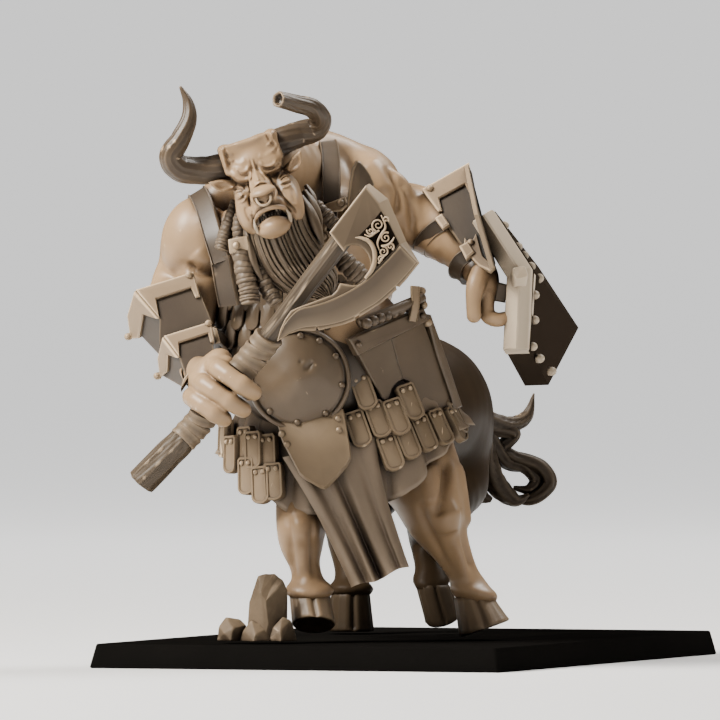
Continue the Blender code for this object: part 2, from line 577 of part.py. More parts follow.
def largest_shell(piece):
    """Drop any stray closed shell, merge doubled points and leave one closed surface."""
    work = bmesh.new()
    work.from_mesh(piece.data)
    bmesh.ops.remove_doubles(work, verts=work.verts, dist=0.000004)
    bmesh.ops.triangulate(work, faces=work.faces)
    mend(work)
    seen = set()
    shells = []
    for start in work.verts:
        if start in seen:
            continue
        stack = [start]
        seen.add(start)
        shell = []
        while stack:
            vert = stack.pop()
            shell.append(vert)
            for edge in vert.link_edges:
                other = edge.other_vert(vert)
                if other not in seen:
                    seen.add(other)
                    stack.append(other)
        shells.append(shell)
    shells.sort(key=len, reverse=True)
    for shell in shells[1:]:
        middle = sum((v.co for v in shell), Vector()) / len(shell) / UNIT
        print("left out", len(shell), tuple(round(c, 1) for c in middle))
        bmesh.ops.delete(work, geom=shell, context="VERTS")
    bmesh.ops.recalc_face_normals(work, faces=work.faces)
    open_edges = sum(1 for e in work.edges if len(e.link_faces) != 2)
    print(piece.name, "shells", len(shells), "edges not shared by two faces", open_edges,
          "triangles", len(work.faces))
    work.to_mesh(piece.data)
    work.free()


largest_shell(figure)

# Turn the figure onto the base
turn = Matrix.Rotation(VIEW_TURN, 4, "Z")
lift = Matrix.Translation((0.0, 0.0, BASE_HEIGHT + REST_GAP))
figure.data.transform(lift @ turn)

# Rocks in front of the raised hoof
rock_parts = []
TALL = ROCK_HEIGHT / UNIT
for place, radii, height, spin in (((-16.3, -25.4), (2.25, 2.0), TALL, 18),
                                   ((-19.5, -24.7), (2.1, 1.8), 0.34 * TALL, 51),
                                   ((-14.5, -26.2), (1.8, 1.6), 0.36 * TALL, 75)):
    rings = []
    for share, wide in ((0.0, 1.0), (0.45, 0.9), (0.8, 0.68), (1.0, 0.36)):
        ring = []
        for k in range(7):
            angle = 2 * math.pi * k / 7 + math.radians(spin) + 0.35 * share
            uneven = 1.0 + 0.16 * math.sin(3.7 * k + 5.0 * share + spin)
            ring.append(Vector((place[0] + radii[0] * wide * uneven * math.cos(angle) + 0.45 * share,
                                place[1] + radii[1] * wide * uneven * math.sin(angle),
                                height * share * (1.0 + 0.05 * math.sin(2.3 * k + spin)))) * UNIT)
        rings.append(ring)
    rock_parts.append(loft("rock", rings))
rocks = rock_parts[0]
rocks.name = "rocks"
for other in rock_parts[1:]:
    weld = rocks.modifiers.new("weld", "BOOLEAN")
    weld.operation = "UNION"
    weld.object = other
    weld.solver = "EXACT"
    apply_modifiers(rocks)
    bpy.data.objects.remove(other, do_unlink=True)
largest_shell(rocks)
rocks.data.transform(lift @ turn)

# Base with sloping sides
half = (BASE_WIDTH / 2, BASE_LENGTH / 2)
base = loft("base", [
    [Vector((sx * (half[0] - inset), sy * (half[1] - inset), z))
     for sx, sy in ((-1, -1), (1, -1), (1, 1), (-1, 1))]
    for inset, z in ((0.0, 0.0), (BASE_SLOPE, BASE_HEIGHT))])


def finish(piece, name, colour, rough):
    """Give an object its own material."""
    material = bpy.data.materials.new(name)
    material.use_nodes = True
    shader = material.node_tree.nodes["Principled BSDF"]
    shader.inputs["Base Color"].default_value = colour
    shader.inputs["Roughness"].default_value = rough
    piece.data.materials.clear()
    piece.data.materials.append(material)
    piece.data.name = piece.name


finish(figure, "cast_resin", (0.42, 0.35, 0.27, 1.0), 0.5)
finish(rocks, "rock_resin", (0.36, 0.31, 0.25, 1.0), 0.6)
finish(base, "base_plastic", (0.02, 0.02, 0.02, 1.0), 0.45)
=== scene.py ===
"""Bull-centaur tabletop miniature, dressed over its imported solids.

Places are in the figure's own axes: across to the viewer's right, deep away from the viewer
and up from the base's top, in millimetres of the real miniature. Seat turns them onto the base.
"""
from __future__ import annotations

import logging
import math
from dataclasses import dataclass, field
from enum import Enum
from typing import Callable, Sequence

import bmesh
import bpy
import numpy as np
from mathutils import Matrix, Vector


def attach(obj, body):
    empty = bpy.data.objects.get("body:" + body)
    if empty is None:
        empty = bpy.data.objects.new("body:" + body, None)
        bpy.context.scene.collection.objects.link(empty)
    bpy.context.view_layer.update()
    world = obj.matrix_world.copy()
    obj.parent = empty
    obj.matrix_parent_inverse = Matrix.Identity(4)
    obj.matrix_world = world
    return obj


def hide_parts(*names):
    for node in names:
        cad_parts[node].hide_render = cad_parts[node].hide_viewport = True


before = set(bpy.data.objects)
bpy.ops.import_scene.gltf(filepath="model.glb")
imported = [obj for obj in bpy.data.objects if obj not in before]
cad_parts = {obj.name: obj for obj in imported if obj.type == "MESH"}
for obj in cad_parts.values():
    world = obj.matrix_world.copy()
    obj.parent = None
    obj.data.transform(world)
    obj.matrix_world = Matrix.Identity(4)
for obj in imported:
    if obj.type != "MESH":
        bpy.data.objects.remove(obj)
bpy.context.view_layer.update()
LOG = logging.getLogger("miniature")
Knots = Sequence[Sequence[float]]
Colour = tuple[float, float, float]
Span = tuple[float, float]
Lay = Callable[[np.ndarray], np.ndarray]
Lines = Sequence[tuple[Knots, float, float]]
VIEWER = (0.0, -1.0, 0.0)


class Surface(Enum):
    """How the faces of a piece meet in the light."""

    ROUND = 180.0
    CREASED = 32.0
    CUT = 12.0


@dataclass(frozen=True)
class Seat:
    """How the figure's own axes lie on the base."""

    turn: float = math.radians(20.4)
    unit: float = 0.001
    lift: float = 0.0031

    def place(self, points: np.ndarray) -> np.ndarray:
        """Turn the points about the upright, scale them to metres and lift them onto the base.

        Args:
            points: Places in the figure's axes, three numbers to a row.

        Returns:
            The same places in metres, in the frame of the solids.
        """
        across, deep, up = points[:, 0], points[:, 1], points[:, 2]
        cos, sin = math.cos(self.turn), math.sin(self.turn)
        turned = np.stack([across * cos - deep * sin, across * sin + deep * cos, up], axis=1)
        return turned * self.unit + np.array([0.0, 0.0, self.lift])


SEAT = Seat()


@dataclass(frozen=True)
class Finish:
    """Cast resin or paint with worn edges that carry painted highlights, painted shade in hollows and a fine
    tooth.

    The body colour is varied by broad noise, lightened towards the edge colour where the surface
    turns sharply, as wear and painted highlight, and darkened towards the hollow colour where little of
    the sky is seen, as painted shade. From the figure's middle to its rear, which lies in deep shade,
    colour and gloss fade to the far shade: the rear's shade is painted on.
    """

    name: str
    body: Colour
    edge: Colour
    hollow: Colour
    rough: float = 0.5
    gloss: float = 0.35
    patch_scale: float = 220.0
    patch_depth: float = 0.12
    patch_detail: float = 5.0
    patch_span: Span = (0.3, 0.7)
    tooth_scale: float = 2600.0
    tooth: float = 0.05
    tooth_detail: float = 3.0
    tooth_height: float = 0.0002
    # Reach and span of the ambient occlusion that paints shade into hollows.
    painted_shade_reach: float = 0.005
    painted_shade_span: Span = (0.25, 0.85)
    # Pointiness from which edges turn to the edge colour, as wear and painted highlight.
    edge_from: float = 0.515
    edge_width: float = 0.12
    # Direction, span and factor of the painted shade that darkens the rear.
    rearward: tuple[float, float, float] = (-0.3486, 0.9373, 0.0)
    far_span: Span = (-0.010, 0.002)
    far_shade: float = 1.0

    def material(self) -> bpy.types.Material:
        """Build the finish as shader nodes, once.

        Returns:
            The material.
        """
        made = bpy.data.materials.get(self.name)
        if made:
            return made
        made = bpy.data.materials.new(self.name)
        made.use_nodes = True
        tree = made.node_tree
        nodes, links = tree.nodes, tree.links
        shader = nodes["Principled BSDF"]
        shader.inputs["Roughness"].default_value = self.rough
        where = nodes.new("ShaderNodeTexCoord").outputs["Object"]
        patches = self._noise(tree, where, self.patch_scale, self.patch_detail)
        varied = (1.0 - self.patch_depth, 1.0 + self.patch_depth)
        colour = self._mixed(tree, "MULTIPLY", 1.0, self.body + (1.0,),
                             self._mapped(tree, patches, self.patch_span, varied))
        # Pointiness lightens sharp edges towards the edge colour: wear, and a painted highlight.
        bend = nodes.new("ShaderNodeNewGeometry").outputs["Pointiness"]
        worn = self._mapped(tree, bend, (self.edge_from, self.edge_from + self.edge_width), (0.0, 1.0))
        colour = self._mixed(tree, "MIX", worn, colour, self.edge + (1.0,))
        # Ambient occlusion darkens hollows, creases and gaps between parts towards the hollow colour: painted
        # shade.
        sky = nodes.new("ShaderNodeAmbientOcclusion")
        sky.samples = 6
        sky.inputs["Distance"].default_value = self.painted_shade_reach
        painted_shade = self._mapped(tree, sky.outputs["AO"], self.painted_shade_span, (1.0, 0.0))
        colour = self._mixed(tree, "MIX", painted_shade, colour, self.hollow + (1.0,))
        shader.inputs["Specular IOR Level"].default_value = self.gloss
        # Towards the rear, colour and specular level fall to the far shade: painted shade and dimmed
        # reflection.
        if self.far_shade < 1.0:
            fade = self._fade(tree, where)
            colour = self._mixed(tree, "MULTIPLY", 1.0, colour, fade)
            shine = nodes.new("ShaderNodeMath")
            shine.operation = "MULTIPLY"
            shine.inputs[1].default_value = self.gloss
            links.new(fade, shine.inputs[0])
            links.new(shine.outputs["Value"], shader.inputs["Specular IOR Level"])
        links.new(colour, shader.inputs["Base Color"])
        bump = nodes.new("ShaderNodeBump")
        bump.inputs["Strength"].default_value = self.tooth
        bump.inputs["Distance"].default_value = self.tooth_height
        links.new(self._noise(tree, where, self.tooth_scale, self.tooth_detail), bump.inputs["Height"])
        links.new(bump.outputs["Normal"], shader.inputs["Normal"])
        return made

    def _fade(self, tree: bpy.types.NodeTree, where: bpy.types.NodeSocket) -> bpy.types.NodeSocket:
        """Fall from one at the figure's middle to the far shade at its rear: the rear's painted shade.

        Args:
            tree: The material's nodes.
            where: The place on the piece.

        Returns:
            The factor of colour and gloss.
        """
        deep = tree.nodes.new("ShaderNodeVectorMath")
        deep.operation = "DOT_PRODUCT"
        deep.inputs[1].default_value = self.rearward
        tree.links.new(where, deep.inputs[0])
        return self._mapped(tree, deep.outputs["Value"], self.far_span, (1.0, self.far_shade), smooth=True)

    def _noise(self, tree: bpy.types.NodeTree, where: bpy.types.NodeSocket, scale: float,
               detail: float) -> bpy.types.NodeSocket:
        """Add cloudy noise over the piece.

        Args:
            tree: The material's nodes.
            where: The place on the piece.
            scale: Fineness of the noise.
            detail: How many finer layers it has.

        Returns:
            The noise, from nought to one.
        """
        noise = tree.nodes.new("ShaderNodeTexNoise")
        noise.inputs["Scale"].default_value = scale
        noise.inputs["Detail"].default_value = detail
        tree.links.new(where, noise.inputs["Vector"])
        return noise.outputs["Fac"]

    def _mapped(self, tree: bpy.types.NodeTree, value: bpy.types.NodeSocket, span: Span, result: Span,
                smooth: bool = False) -> bpy.types.NodeSocket:
        """Map a value from one span onto another, and hold it at their ends.

        Args:
            tree: The material's nodes.
            value: The value.
            span: The span that it comes from.
            result: The span that it goes to.
            smooth: Whether the ends are eased.

        Returns:
            The mapped value.
        """
        mapped = tree.nodes.new("ShaderNodeMapRange")
        if smooth:
            mapped.interpolation_type = "SMOOTHSTEP"
        for name, end in zip(("From Min", "From Max", "To Min", "To Max"), span + result):
            mapped.inputs[name].default_value = end
        tree.links.new(value, mapped.inputs["Value"])
        return mapped.outputs["Result"]

    def _mixed(self, tree: bpy.types.NodeTree, kind: str, *values: float | tuple | bpy.types.NodeSocket
               ) -> bpy.types.NodeSocket:
        """Mix two colours; the mix node's sockets are share 0, first 6, second 7 and result 2.

        Args:
            tree: The material's nodes.
            kind: How they are mixed.
            values: The share of the second, the first and the second, each fixed or from a node.

        Returns:
            The mixed colour.
        """
        mix = tree.nodes.new("ShaderNodeMix")
        mix.data_type = "RGBA"
        mix.blend_type = kind
        for number, value in zip((0, 6, 7), values):
            if isinstance(value, bpy.types.NodeSocket):
                tree.links.new(value, mix.inputs[number])
            else:
                mix.inputs[number].default_value = value
        return mix.outputs[2]


# Each finish gives a body colour, an edge colour for wear and painted highlight on sharp edges, and a hollow
# colour for painted shade in hollows.
SKIN = Finish("skin_resin", (0.33, 0.215, 0.118), (0.60, 0.44, 0.27), (0.026, 0.013, 0.006), rough=0.40,
              edge_from=0.62)
# The bull's hide: the skin colour, fading to a tenth towards the rear as painted shade.
HIDE = Finish("hide_resin", (0.31, 0.20, 0.11), (0.60, 0.44, 0.27), (0.024, 0.012, 0.006), rough=0.40,
              far_shade=0.10, edge_from=0.62)
HORN = Finish("horn_resin", (0.065, 0.044, 0.026), (0.36, 0.26, 0.165), (0.012, 0.007, 0.004), rough=0.42)
# Hooves fade to a fifth towards the rear as painted shade.
HOOF = Finish("hoof_painted_rear_shade", (0.20, 0.137, 0.08), (0.40, 0.29, 0.185), (0.014, 0.008, 0.004), rough=0.46,
              far_shade=0.2)
HAIR = Finish("hair_resin", (0.120, 0.086, 0.055), (0.30, 0.225, 0.15), (0.018, 0.012, 0.008), rough=0.5)
# The tail is the hair colour darkened, as painted shade of the rear.
MANE = Finish("tail_hair_painted_shade", (0.050, 0.036, 0.024), (0.20, 0.15, 0.10), (0.006, 0.004, 0.003), rough=0.5,
              gloss=0.15)
PLATE = Finish("plate_resin", (0.105, 0.074, 0.046), (0.40, 0.295, 0.185), (0.010, 0.006, 0.003),
               rough=0.38, edge_from=0.60)
SHELL = Finish("forearm_resin", (0.048, 0.034, 0.022), (0.26, 0.19, 0.12), (0.006, 0.004, 0.002), rough=0.40)
LEAF = Finish("lamella_resin", (0.200, 0.143, 0.087), (0.60, 0.45, 0.29), (0.012, 0.007, 0.004), rough=0.40,
              edge_from=0.60)
LEATHER = Finish("leather_resin", (0.105, 0.074, 0.045), (0.34, 0.25, 0.16), (0.012, 0.007, 0.004),
                 rough=0.45)
TRIM = Finish("trim_resin", (0.25, 0.176, 0.105), (0.64, 0.48, 0.31), (0.024, 0.014, 0.008), rough=0.40)
DARK_PLATE = Finish("dark_plate_resin", (0.060, 0.043, 0.028), (0.22, 0.16, 0.105), (0.007, 0.004, 0.002),
                    rough=0.44)
CLOTH = Finish("cloth_resin", (0.21, 0.155, 0.105), (0.30, 0.23, 0.16), (0.014, 0.009, 0.006), rough=0.50)
WOOD = Finish("wood_resin", (0.068, 0.048, 0.029), (0.23, 0.17, 0.11), (0.008, 0.005, 0.003), rough=0.48)
STEEL = Finish("blade_resin", (0.075, 0.052, 0.031), (0.42, 0.31, 0.195), (0.010, 0.006, 0.003), rough=0.38)
BONE = Finish("shield_rim_resin", (0.33, 0.26, 0.18), (0.66, 0.54, 0.40), (0.030, 0.020, 0.012), rough=0.45)
# Near black with no gloss: painted shade on the shield's face and in the axe's sunk panel.
SHADE = Finish("near_black_painted_shade", (0.008, 0.006, 0.004), (0.03, 0.022, 0.016), (0.003, 0.002, 0.0015),
               rough=0.6, gloss=0.0)
ROCK = Finish("rock_paint", (0.125, 0.090, 0.057), (0.36, 0.27, 0.18), (0.012, 0.007, 0.004), rough=0.55,
              gloss=0.15, patch_scale=400.0, patch_depth=0.2, tooth=0.2, tooth_scale=1500.0)
BASE = Finish("base_black", (0.005, 0.0046, 0.0042), (0.006, 0.0056, 0.005), (0.003, 0.003, 0.003),
              rough=0.65, gloss=0.0, tooth_scale=1800.0)


def curve(knots: Knots, count: int) -> np.ndarray:
    """A smooth curve through knots: each coordinate is the Catmull-Rom cubic of four neighbours.

    Args:
        knots: Places, with any further values such as a radius.
        count: Points wanted along the curve.

    Returns:
        The points, one to a row, with as many values as the knots.
    """
    knot = np.asarray(knots, dtype=float)
    knot = np.vstack([2 * knot[0] - knot[1], knot, 2 * knot[-1] - knot[-2]])
    along = np.linspace(0, len(knot) - 3 - 1e-9, count)
    first = along.astype(int)
    t = (along - first)[:, None]
    a, b, c, d = (knot[first + k] for k in range(4))
    return 0.5 * (2 * b + (c - a) * t + (2 * a - 5 * b + 4 * c - d) * t ** 2
                  + (3 * b - a - 3 * c + d) * t ** 3)


def unit(vectors: np.ndarray) -> np.ndarray:
    """Scale each row to length one."""
    return vectors / np.maximum(np.linalg.norm(vectors, axis=-1, keepdims=True), 1e-12)


def weave(rows: int, columns: int) -> np.ndarray:
    """Quads of a grid of points, closed round in its columns.

    Args:
        rows: Rings of the grid.
        columns: Points to a ring.

    Returns:
        The numbers of each quad's four points.
    """
    row, column = np.meshgrid(np.arange(rows - 1), np.arange(columns), indexing="ij")
    after = (column + 1) % columns
    quads = np.stack([row * columns + column, row * columns + after,
                      (row + 1) * columns + after, (row + 1) * columns + column], axis=-1)
    return quads.reshape(-1, 4)


@dataclass
class Batch:
    """Points and faces gathered into one piece."""

    points: list[np.ndarray] = field(default_factory=list)
    loops: list[np.ndarray] = field(default_factory=list)
    sizes: list[np.ndarray] = field(default_factory=list)
    count: int = 0

    def add(self, points: np.ndarray, *faces: np.ndarray) -> None:
        """Add points and the faces among them; each face array has one face to a row.

        Args:
            points: The points.
            faces: The faces, as numbers of the points.
        """
        for group in faces:
            group = np.atleast_2d(np.asarray(group, dtype=np.int64))
            self.loops.append((group + self.count).ravel())
            self.sizes.append(np.full(len(group), group.shape[1]))
        self.points.append(np.asarray(points, dtype=float).reshape(-1, 3))
        self.count += len(self.points[-1])

    def grid(self, rings: np.ndarray, poles: bool = True) -> None:
        """Add a closed surface of rings, with a pole at the middle of each end ring.

        Args:
            rings: An array of rings by points by three.
            poles: Whether the end rings are drawn in to a pole, or closed by one flat face.
        """
        rows, columns = rings.shape[:2]
        points = rings.reshape(-1, 3)
        around = np.arange(columns)
        after = (around + 1) % columns
        last = (rows - 1) * columns
        if not poles:
            self.add(points, weave(rows, columns), around[::-1][None], (last + around)[None])
            return
        ends = np.stack([rings[0].mean(axis=0), rings[-1].mean(axis=0)])
        low = np.stack([after, around, np.full(columns, rows * columns)], axis=1)
        high = np.stack([last + around, last + after, np.full(columns, rows * columns + 1)], axis=1)
        self.add(np.vstack([points, ends]), weave(rows, columns), low, high)

    def build(self, name: str, finish: Finish, surface: Surface = Surface.ROUND,
              slot: str = "figure_resin", node: str = "figure", seated: bool = True) -> bpy.types.Object:
        """Make the piece, seat it and put it on the model.

        Args:
            name: The piece's name.
            finish: Its finish.
            surface: How its faces meet.
            slot: The record's material slot; not used.
            node: The solid that the piece stands for.
            seated: Whether the points are in the figure's axes, and not yet in those of the base.

        Returns:
            The piece.
        """
        points = np.vstack(self.points)
        points = SEAT.place(points) if seated else points * SEAT.unit
        loops = np.concatenate(self.loops)
        sizes = np.concatenate(self.sizes)
        mesh = bpy.data.meshes.new(name)
        mesh.vertices.add(len(points))
        mesh.vertices.foreach_set("co", points.ravel())
        mesh.loops.add(len(loops))
        mesh.loops.foreach_set("vertex_index", loops)
        mesh.polygons.add(len(sizes))
        mesh.polygons.foreach_set("loop_start", np.concatenate([[0], np.cumsum(sizes)[:-1]]))
        mesh.update(calc_edges=True)
        mesh.validate()
        outward = bmesh.new()
        outward.from_mesh(mesh)
        bmesh.ops.recalc_face_normals(outward, faces=outward.faces)
        outward.to_mesh(mesh)
        outward.free()
        mesh.shade_smooth()
        if surface is not Surface.ROUND:
            mesh.set_sharp_from_angle(angle=math.radians(surface.value))
        mesh.materials.append(finish.material())
        piece = bpy.data.objects.new(name, mesh)
        bpy.context.scene.collection.objects.link(piece)
        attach(piece, "root")
        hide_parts(node)
        LOG.info("%s: %d faces", name, len(sizes))
        return piece


def tube(path: np.ndarray, around: int = 14, relief: np.ndarray | None = None, flat: float = 1.0
         ) -> np.ndarray:
    """A tube along a path: at each point a ring of the path's radius, square to the path.

    The ring starts from the side that is square to the path and to the viewer's direction. A point's
    distance from the path is the radius times the relief there, and flat scales it to the viewer.

    Args:
        path: Places and radius, four values to a row.
        around: Points round the tube.
        relief: Factors of the radius, by path point and by point round the tube.
        flat: Factor of the radius towards the viewer.

    Returns:
        Rings of points.
    """
    line = unit(np.gradient(path[:, :3], axis=0))
    side = unit(np.cross(line, VIEWER))
    face = np.cross(side, line)
    angle = 2 * math.pi * np.arange(around) / around
    reach = path[:, 3][:, None] * (1.0 if relief is None else relief)
    return (path[:, None, :3] + side[:, None] * (np.cos(angle) * reach)[..., None]
            + face[:, None] * (np.sin(angle) * reach * flat)[..., None])


def swept(batch: Batch, knots: Knots, count: int = 24, around: int = 14, flat: float = 1.0,
          relief: Callable[[np.ndarray, np.ndarray], np.ndarray] | None = None) -> None:
    """Add a tube through knots of place and radius.

    Args:
        batch: What it is added to.
        knots: Places and radius along it.
        count: Rings along it.
        around: Points to a ring.
        flat: Factor of the radius towards the viewer.
        relief: Factor of the radius, from the share of the way and the angle round.
    """
    path = curve(knots, count)
    path[:, 3] = np.maximum(path[:, 3], 0.03)
    share = np.linspace(0, 1, count)[:, None]
    angle = (2 * math.pi * np.arange(around) / around)[None]
    carved = relief(share, angle) if relief else None
    batch.grid(tube(path, around, carved, flat))


def divided(outline: Knots, spacing: float) -> np.ndarray:
    """An outline with each side divided into steps of about the spacing.

    Args:
        outline: The corners.
        spacing: The greatest step.

    Returns:
        The corners and the points between them.
    """
    corner = np.asarray(outline, dtype=float)
    after = np.roll(corner, -1, axis=0)
    steps = np.maximum(np.ceil(np.linalg.norm(after - corner, axis=1) / spacing).astype(int), 1)
    start = np.repeat(np.arange(len(corner)), steps)
    share = np.concatenate([np.arange(n) / n for n in steps])[:, None]
    return corner[start] * (1 - share) + after[start] * share


def inset(outline: np.ndarray, depth: float) -> np.ndarray:
    """An outline moved inward: each point goes along the mean of its two sides' normals.

    Args:
        outline: The points, anticlockwise.
        depth: How far they go.

    Returns:
        The moved points.
    """
    forward = unit(np.roll(outline, -1, axis=0) - outline)
    normal = np.stack([-forward[:, 1], forward[:, 0]], axis=1)
    before = np.roll(normal, 1, axis=0)
    meeting = np.maximum(1 + (normal * before).sum(axis=1, keepdims=True), 0.5)
    return outline + (normal + before) / meeting * depth


def anticlockwise(outline: np.ndarray) -> np.ndarray:
    """The outline, turned round if it runs clockwise.

    Args:
        outline: The points.

    Returns:
        The same points in anticlockwise order.
    """
    x, y = outline[:, 0], outline[:, 1]
    area = (x * np.roll(y, -1) - np.roll(x, -1) * y).sum()
    return outline if area > 0 else outline[::-1]


def plate(batch: Batch, outline: Knots, lay: Lay, thick: float = 0.8, bevel: float = 0.15,
          rim: tuple[float, float] | None = None, dome: float = 0.0, spacing: float = 0.5,
          rings: int = 5) -> None:
    """Add a bevelled plate: rings of an outline, each inset by a width and raised by a height.

    The rings run from the back's middle to its edge, up the side, over the bevel, across a raised
    rim where there is one, and in to the front's middle, where the height grows by the dome times
    one less the square of the share of the way out.

    Args:
        batch: What the plate is added to.
        outline: Corners in the plate's own plane.
        lay: Turns across, up and height, three to a row, into places on the figure.
        thick: Thickness.
        bevel: Width of the bevel.
        rim: Width and height of a raised rim.
        dome: Height of the middle over the edge.
        spacing: Greatest step along the outline.
        rings: Rings from the rim to the middle.
    """
    edge = anticlockwise(divided(outline, spacing))
    middle = edge.mean(axis=0)
    layers = [(middle + (edge - middle) * s, -thick) for s in (0.05, 0.5)]
    layers += [(edge, -thick), (edge, -bevel), (inset(edge, bevel * 0.6), 0.0)]
    inner = inset(edge, bevel)
    if rim:
        inner = inset(edge, bevel + rim[0])
        layers += [(inner, 0.0), (inset(edge, bevel + rim[0] + 0.08), -rim[1])]
        inner = layers[-1][0]
    base = -rim[1] if rim else 0.0
    for share in np.linspace(1, 0.04, rings)[(1 if rim else 0):]:
        layers.append((middle + (inner - middle) * share, base + dome * (1 - share ** 2)))
    flat = np.array([np.column_stack([ring, np.full(len(ring), lift)]) for ring, lift in layers])
    placed = lay(flat.reshape(-1, 3)).reshape(flat.shape)
    batch.grid(placed)


def slab(batch: Batch, outline: Knots, lay: Lay, thick: float = 0.6, bevel: float = 0.1) -> None:
    """Add a flat bevelled plate of any outline, closed front and back by one face each.

    Args:
        batch: What it is added to.
        outline: Corners in the plate's own plane.
        lay: Turns across, up and height into places on the figure.
        thick: Thickness.
        bevel: Width of the bevel.
    """
    edge = anticlockwise(np.asarray(outline, dtype=float))
    layers = [(inset(edge, bevel), -thick), (edge, -thick + bevel), (edge, -bevel),
              (inset(edge, bevel), 0.0), (inset(edge, bevel + 0.12), 0.0)]
    flat = np.array([np.column_stack([ring, np.full(len(ring), lift)]) for ring, lift in layers])
    batch.grid(lay(flat.reshape(-1, 3)).reshape(flat.shape), poles=False)


def plane(origin: Sequence[float], across: Sequence[float], up: Sequence[float]) -> Lay:
    """A flat lay from its origin and its two directions; height is square to both, to the viewer.

    Args:
        origin: Where across and up are nought.
        across: Direction of the plate's across.
        up: Direction of the plate's up.

    Returns:
        The lay.
    """
    first = unit(np.asarray(across, dtype=float))
    out = unit(np.cross(first, np.asarray(up, dtype=float)))
    second = np.cross(out, first)

    def lay(points: np.ndarray) -> np.ndarray:
        """Place = origin + across, up and height along the plane's three directions."""
        return (np.asarray(origin, dtype=float) + points[:, :1] * first + points[:, 1:2] * second
                + points[:, 2:] * out)
    return lay


def studs(batch: Batch, places: Knots, out: Sequence[float] | np.ndarray, radius: float = 0.45) -> None:
    """Add domed rivet heads: half balls with a short neck, all from one template.

    Args:
        batch: What they are added to.
        places: Where they stand.
        out: One direction for all, or one for each.
        radius: Radius of a head.
    """
    places = np.asarray(places, dtype=float).reshape(-1, 3)
    out = unit(np.broadcast_to(np.asarray(out, dtype=float), places.shape))
    guide = np.where(np.abs(out[:, 2:]) > 0.9, np.array([[1.0, 0, 0]]), np.array([[0, 0, 1.0]]))
    side = unit(np.cross(guide, out))
    up = np.cross(out, side)
    rows, columns = 7, 12
    tilt = np.linspace(0, math.pi / 2 * 0.97, rows - 1)
    reach = np.concatenate([[1.0], np.cos(tilt)]) * radius
    rise = np.concatenate([[-0.8], np.sin(tilt)]) * radius
    angle = 2 * math.pi * np.arange(columns) / columns
    for k in range(len(places)):
        ring = (places[k] + side[k] * (reach[:, None] * np.cos(angle))[..., None]
                + up[k] * (reach[:, None] * np.sin(angle))[..., None] + out[k] * rise[:, None, None])
        batch.grid(ring)


def faced(first: Sequence[float], second: Sequence[float], third: Sequence[float]) -> Lay:
    """A lay on the plane through three places, taken as it is seen: across and up stay as they are.

    Args:
        first: A place on the plane.
        second: Another.
        third: A third, not in line with them.

    Returns:
        The lay, whose height is square to the plane, towards the viewer.
    """
    a, b, c = (np.asarray(p, dtype=float) for p in (first, second, third))
    normal = unit(np.cross(b - a, c - a)[None])[0]
    normal = normal if normal[1] < 0 else -normal

    def lay(points: np.ndarray) -> np.ndarray:
        """Depth comes from the plane's equation, then the height moves the place along its normal."""
        deep = a[1] - (normal[0] * (points[:, 0] - a[0]) + normal[2] * (points[:, 1] - a[2])) / normal[1]
        return np.column_stack([points[:, 0], deep, points[:, 1]]) + points[:, 2:] * normal
    return lay


def ribbon(batch: Batch, knots: Knots, width: float, thick: float, facing: Knots, count: int = 40) -> None:
    """Add a leather strap with raised edges along a smooth path.

    Args:
        batch: What it is added to.
        knots: Places along the strap's middle.
        width: Width of the strap.
        thick: Thickness of the strap.
        facing: Which way the strap's face looks at each knot.
        count: Cross-sections along it.
    """
    path = curve(knots, count)
    line = unit(np.gradient(path, axis=0))
    out = unit(curve(facing, count))
    side = unit(np.cross(line, out))
    out = np.cross(side, line)
    section = np.array([(-1, -0.6), (-1, 0.7), (-0.9, 1.0), (-0.8, 0.6), (-0.3, 0.55), (0.3, 0.55),
                        (0.8, 0.6), (0.9, 1.0), (1, 0.7), (1, -0.6)])
    rings = (path[:, None] + side[:, None] * section[None, :, :1] * width / 2
             + out[:, None] * section[None, :, 1:] * thick)
    batch.grid(rings, poles=False)


def strokes(across: np.ndarray, up: np.ndarray, lines: Lines) -> np.ndarray:
    """Relief of drawn lines: each adds its height times exp(-(distance / width) squared).

    Args:
        across: Across of each point.
        up: Up of each point.
        lines: For each line its knots, its width and its height, which is negative for a groove.

    Returns:
        The height at each point.
    """
    relief = np.zeros_like(across)
    for knots, width, height in lines:
        path = curve(knots, 6 * len(knots) - 5)
        low, high = path.min(axis=0) - 3 * width, path.max(axis=0) + 3 * width
        near = np.flatnonzero((across > low[0]) & (across < high[0]) & (up > low[1]) & (up < high[1]))
        x, y = across[near], up[near]
        gap = np.full(len(near), 1e9)
        along = np.zeros(len(near))
        for k, (a, b) in enumerate(zip(path[:-1], path[1:])):
            line = b - a
            share = np.clip(((x - a[0]) * line[0] + (y - a[1]) * line[1]) / max(line @ line, 1e-9), 0, 1)
            here = (x - a[0] - share * line[0]) ** 2 + (y - a[1] - share * line[1]) ** 2
            closer = here < gap
            gap = np.where(closer, here, gap)
            along = np.where(closer, (k + share) / (len(path) - 1), along)
        taper = np.clip(6 * np.minimum(along, 1 - along) + 0.1, 0, 1)
        relief[near] += height * taper * np.exp(-gap / width ** 2)
    return relief


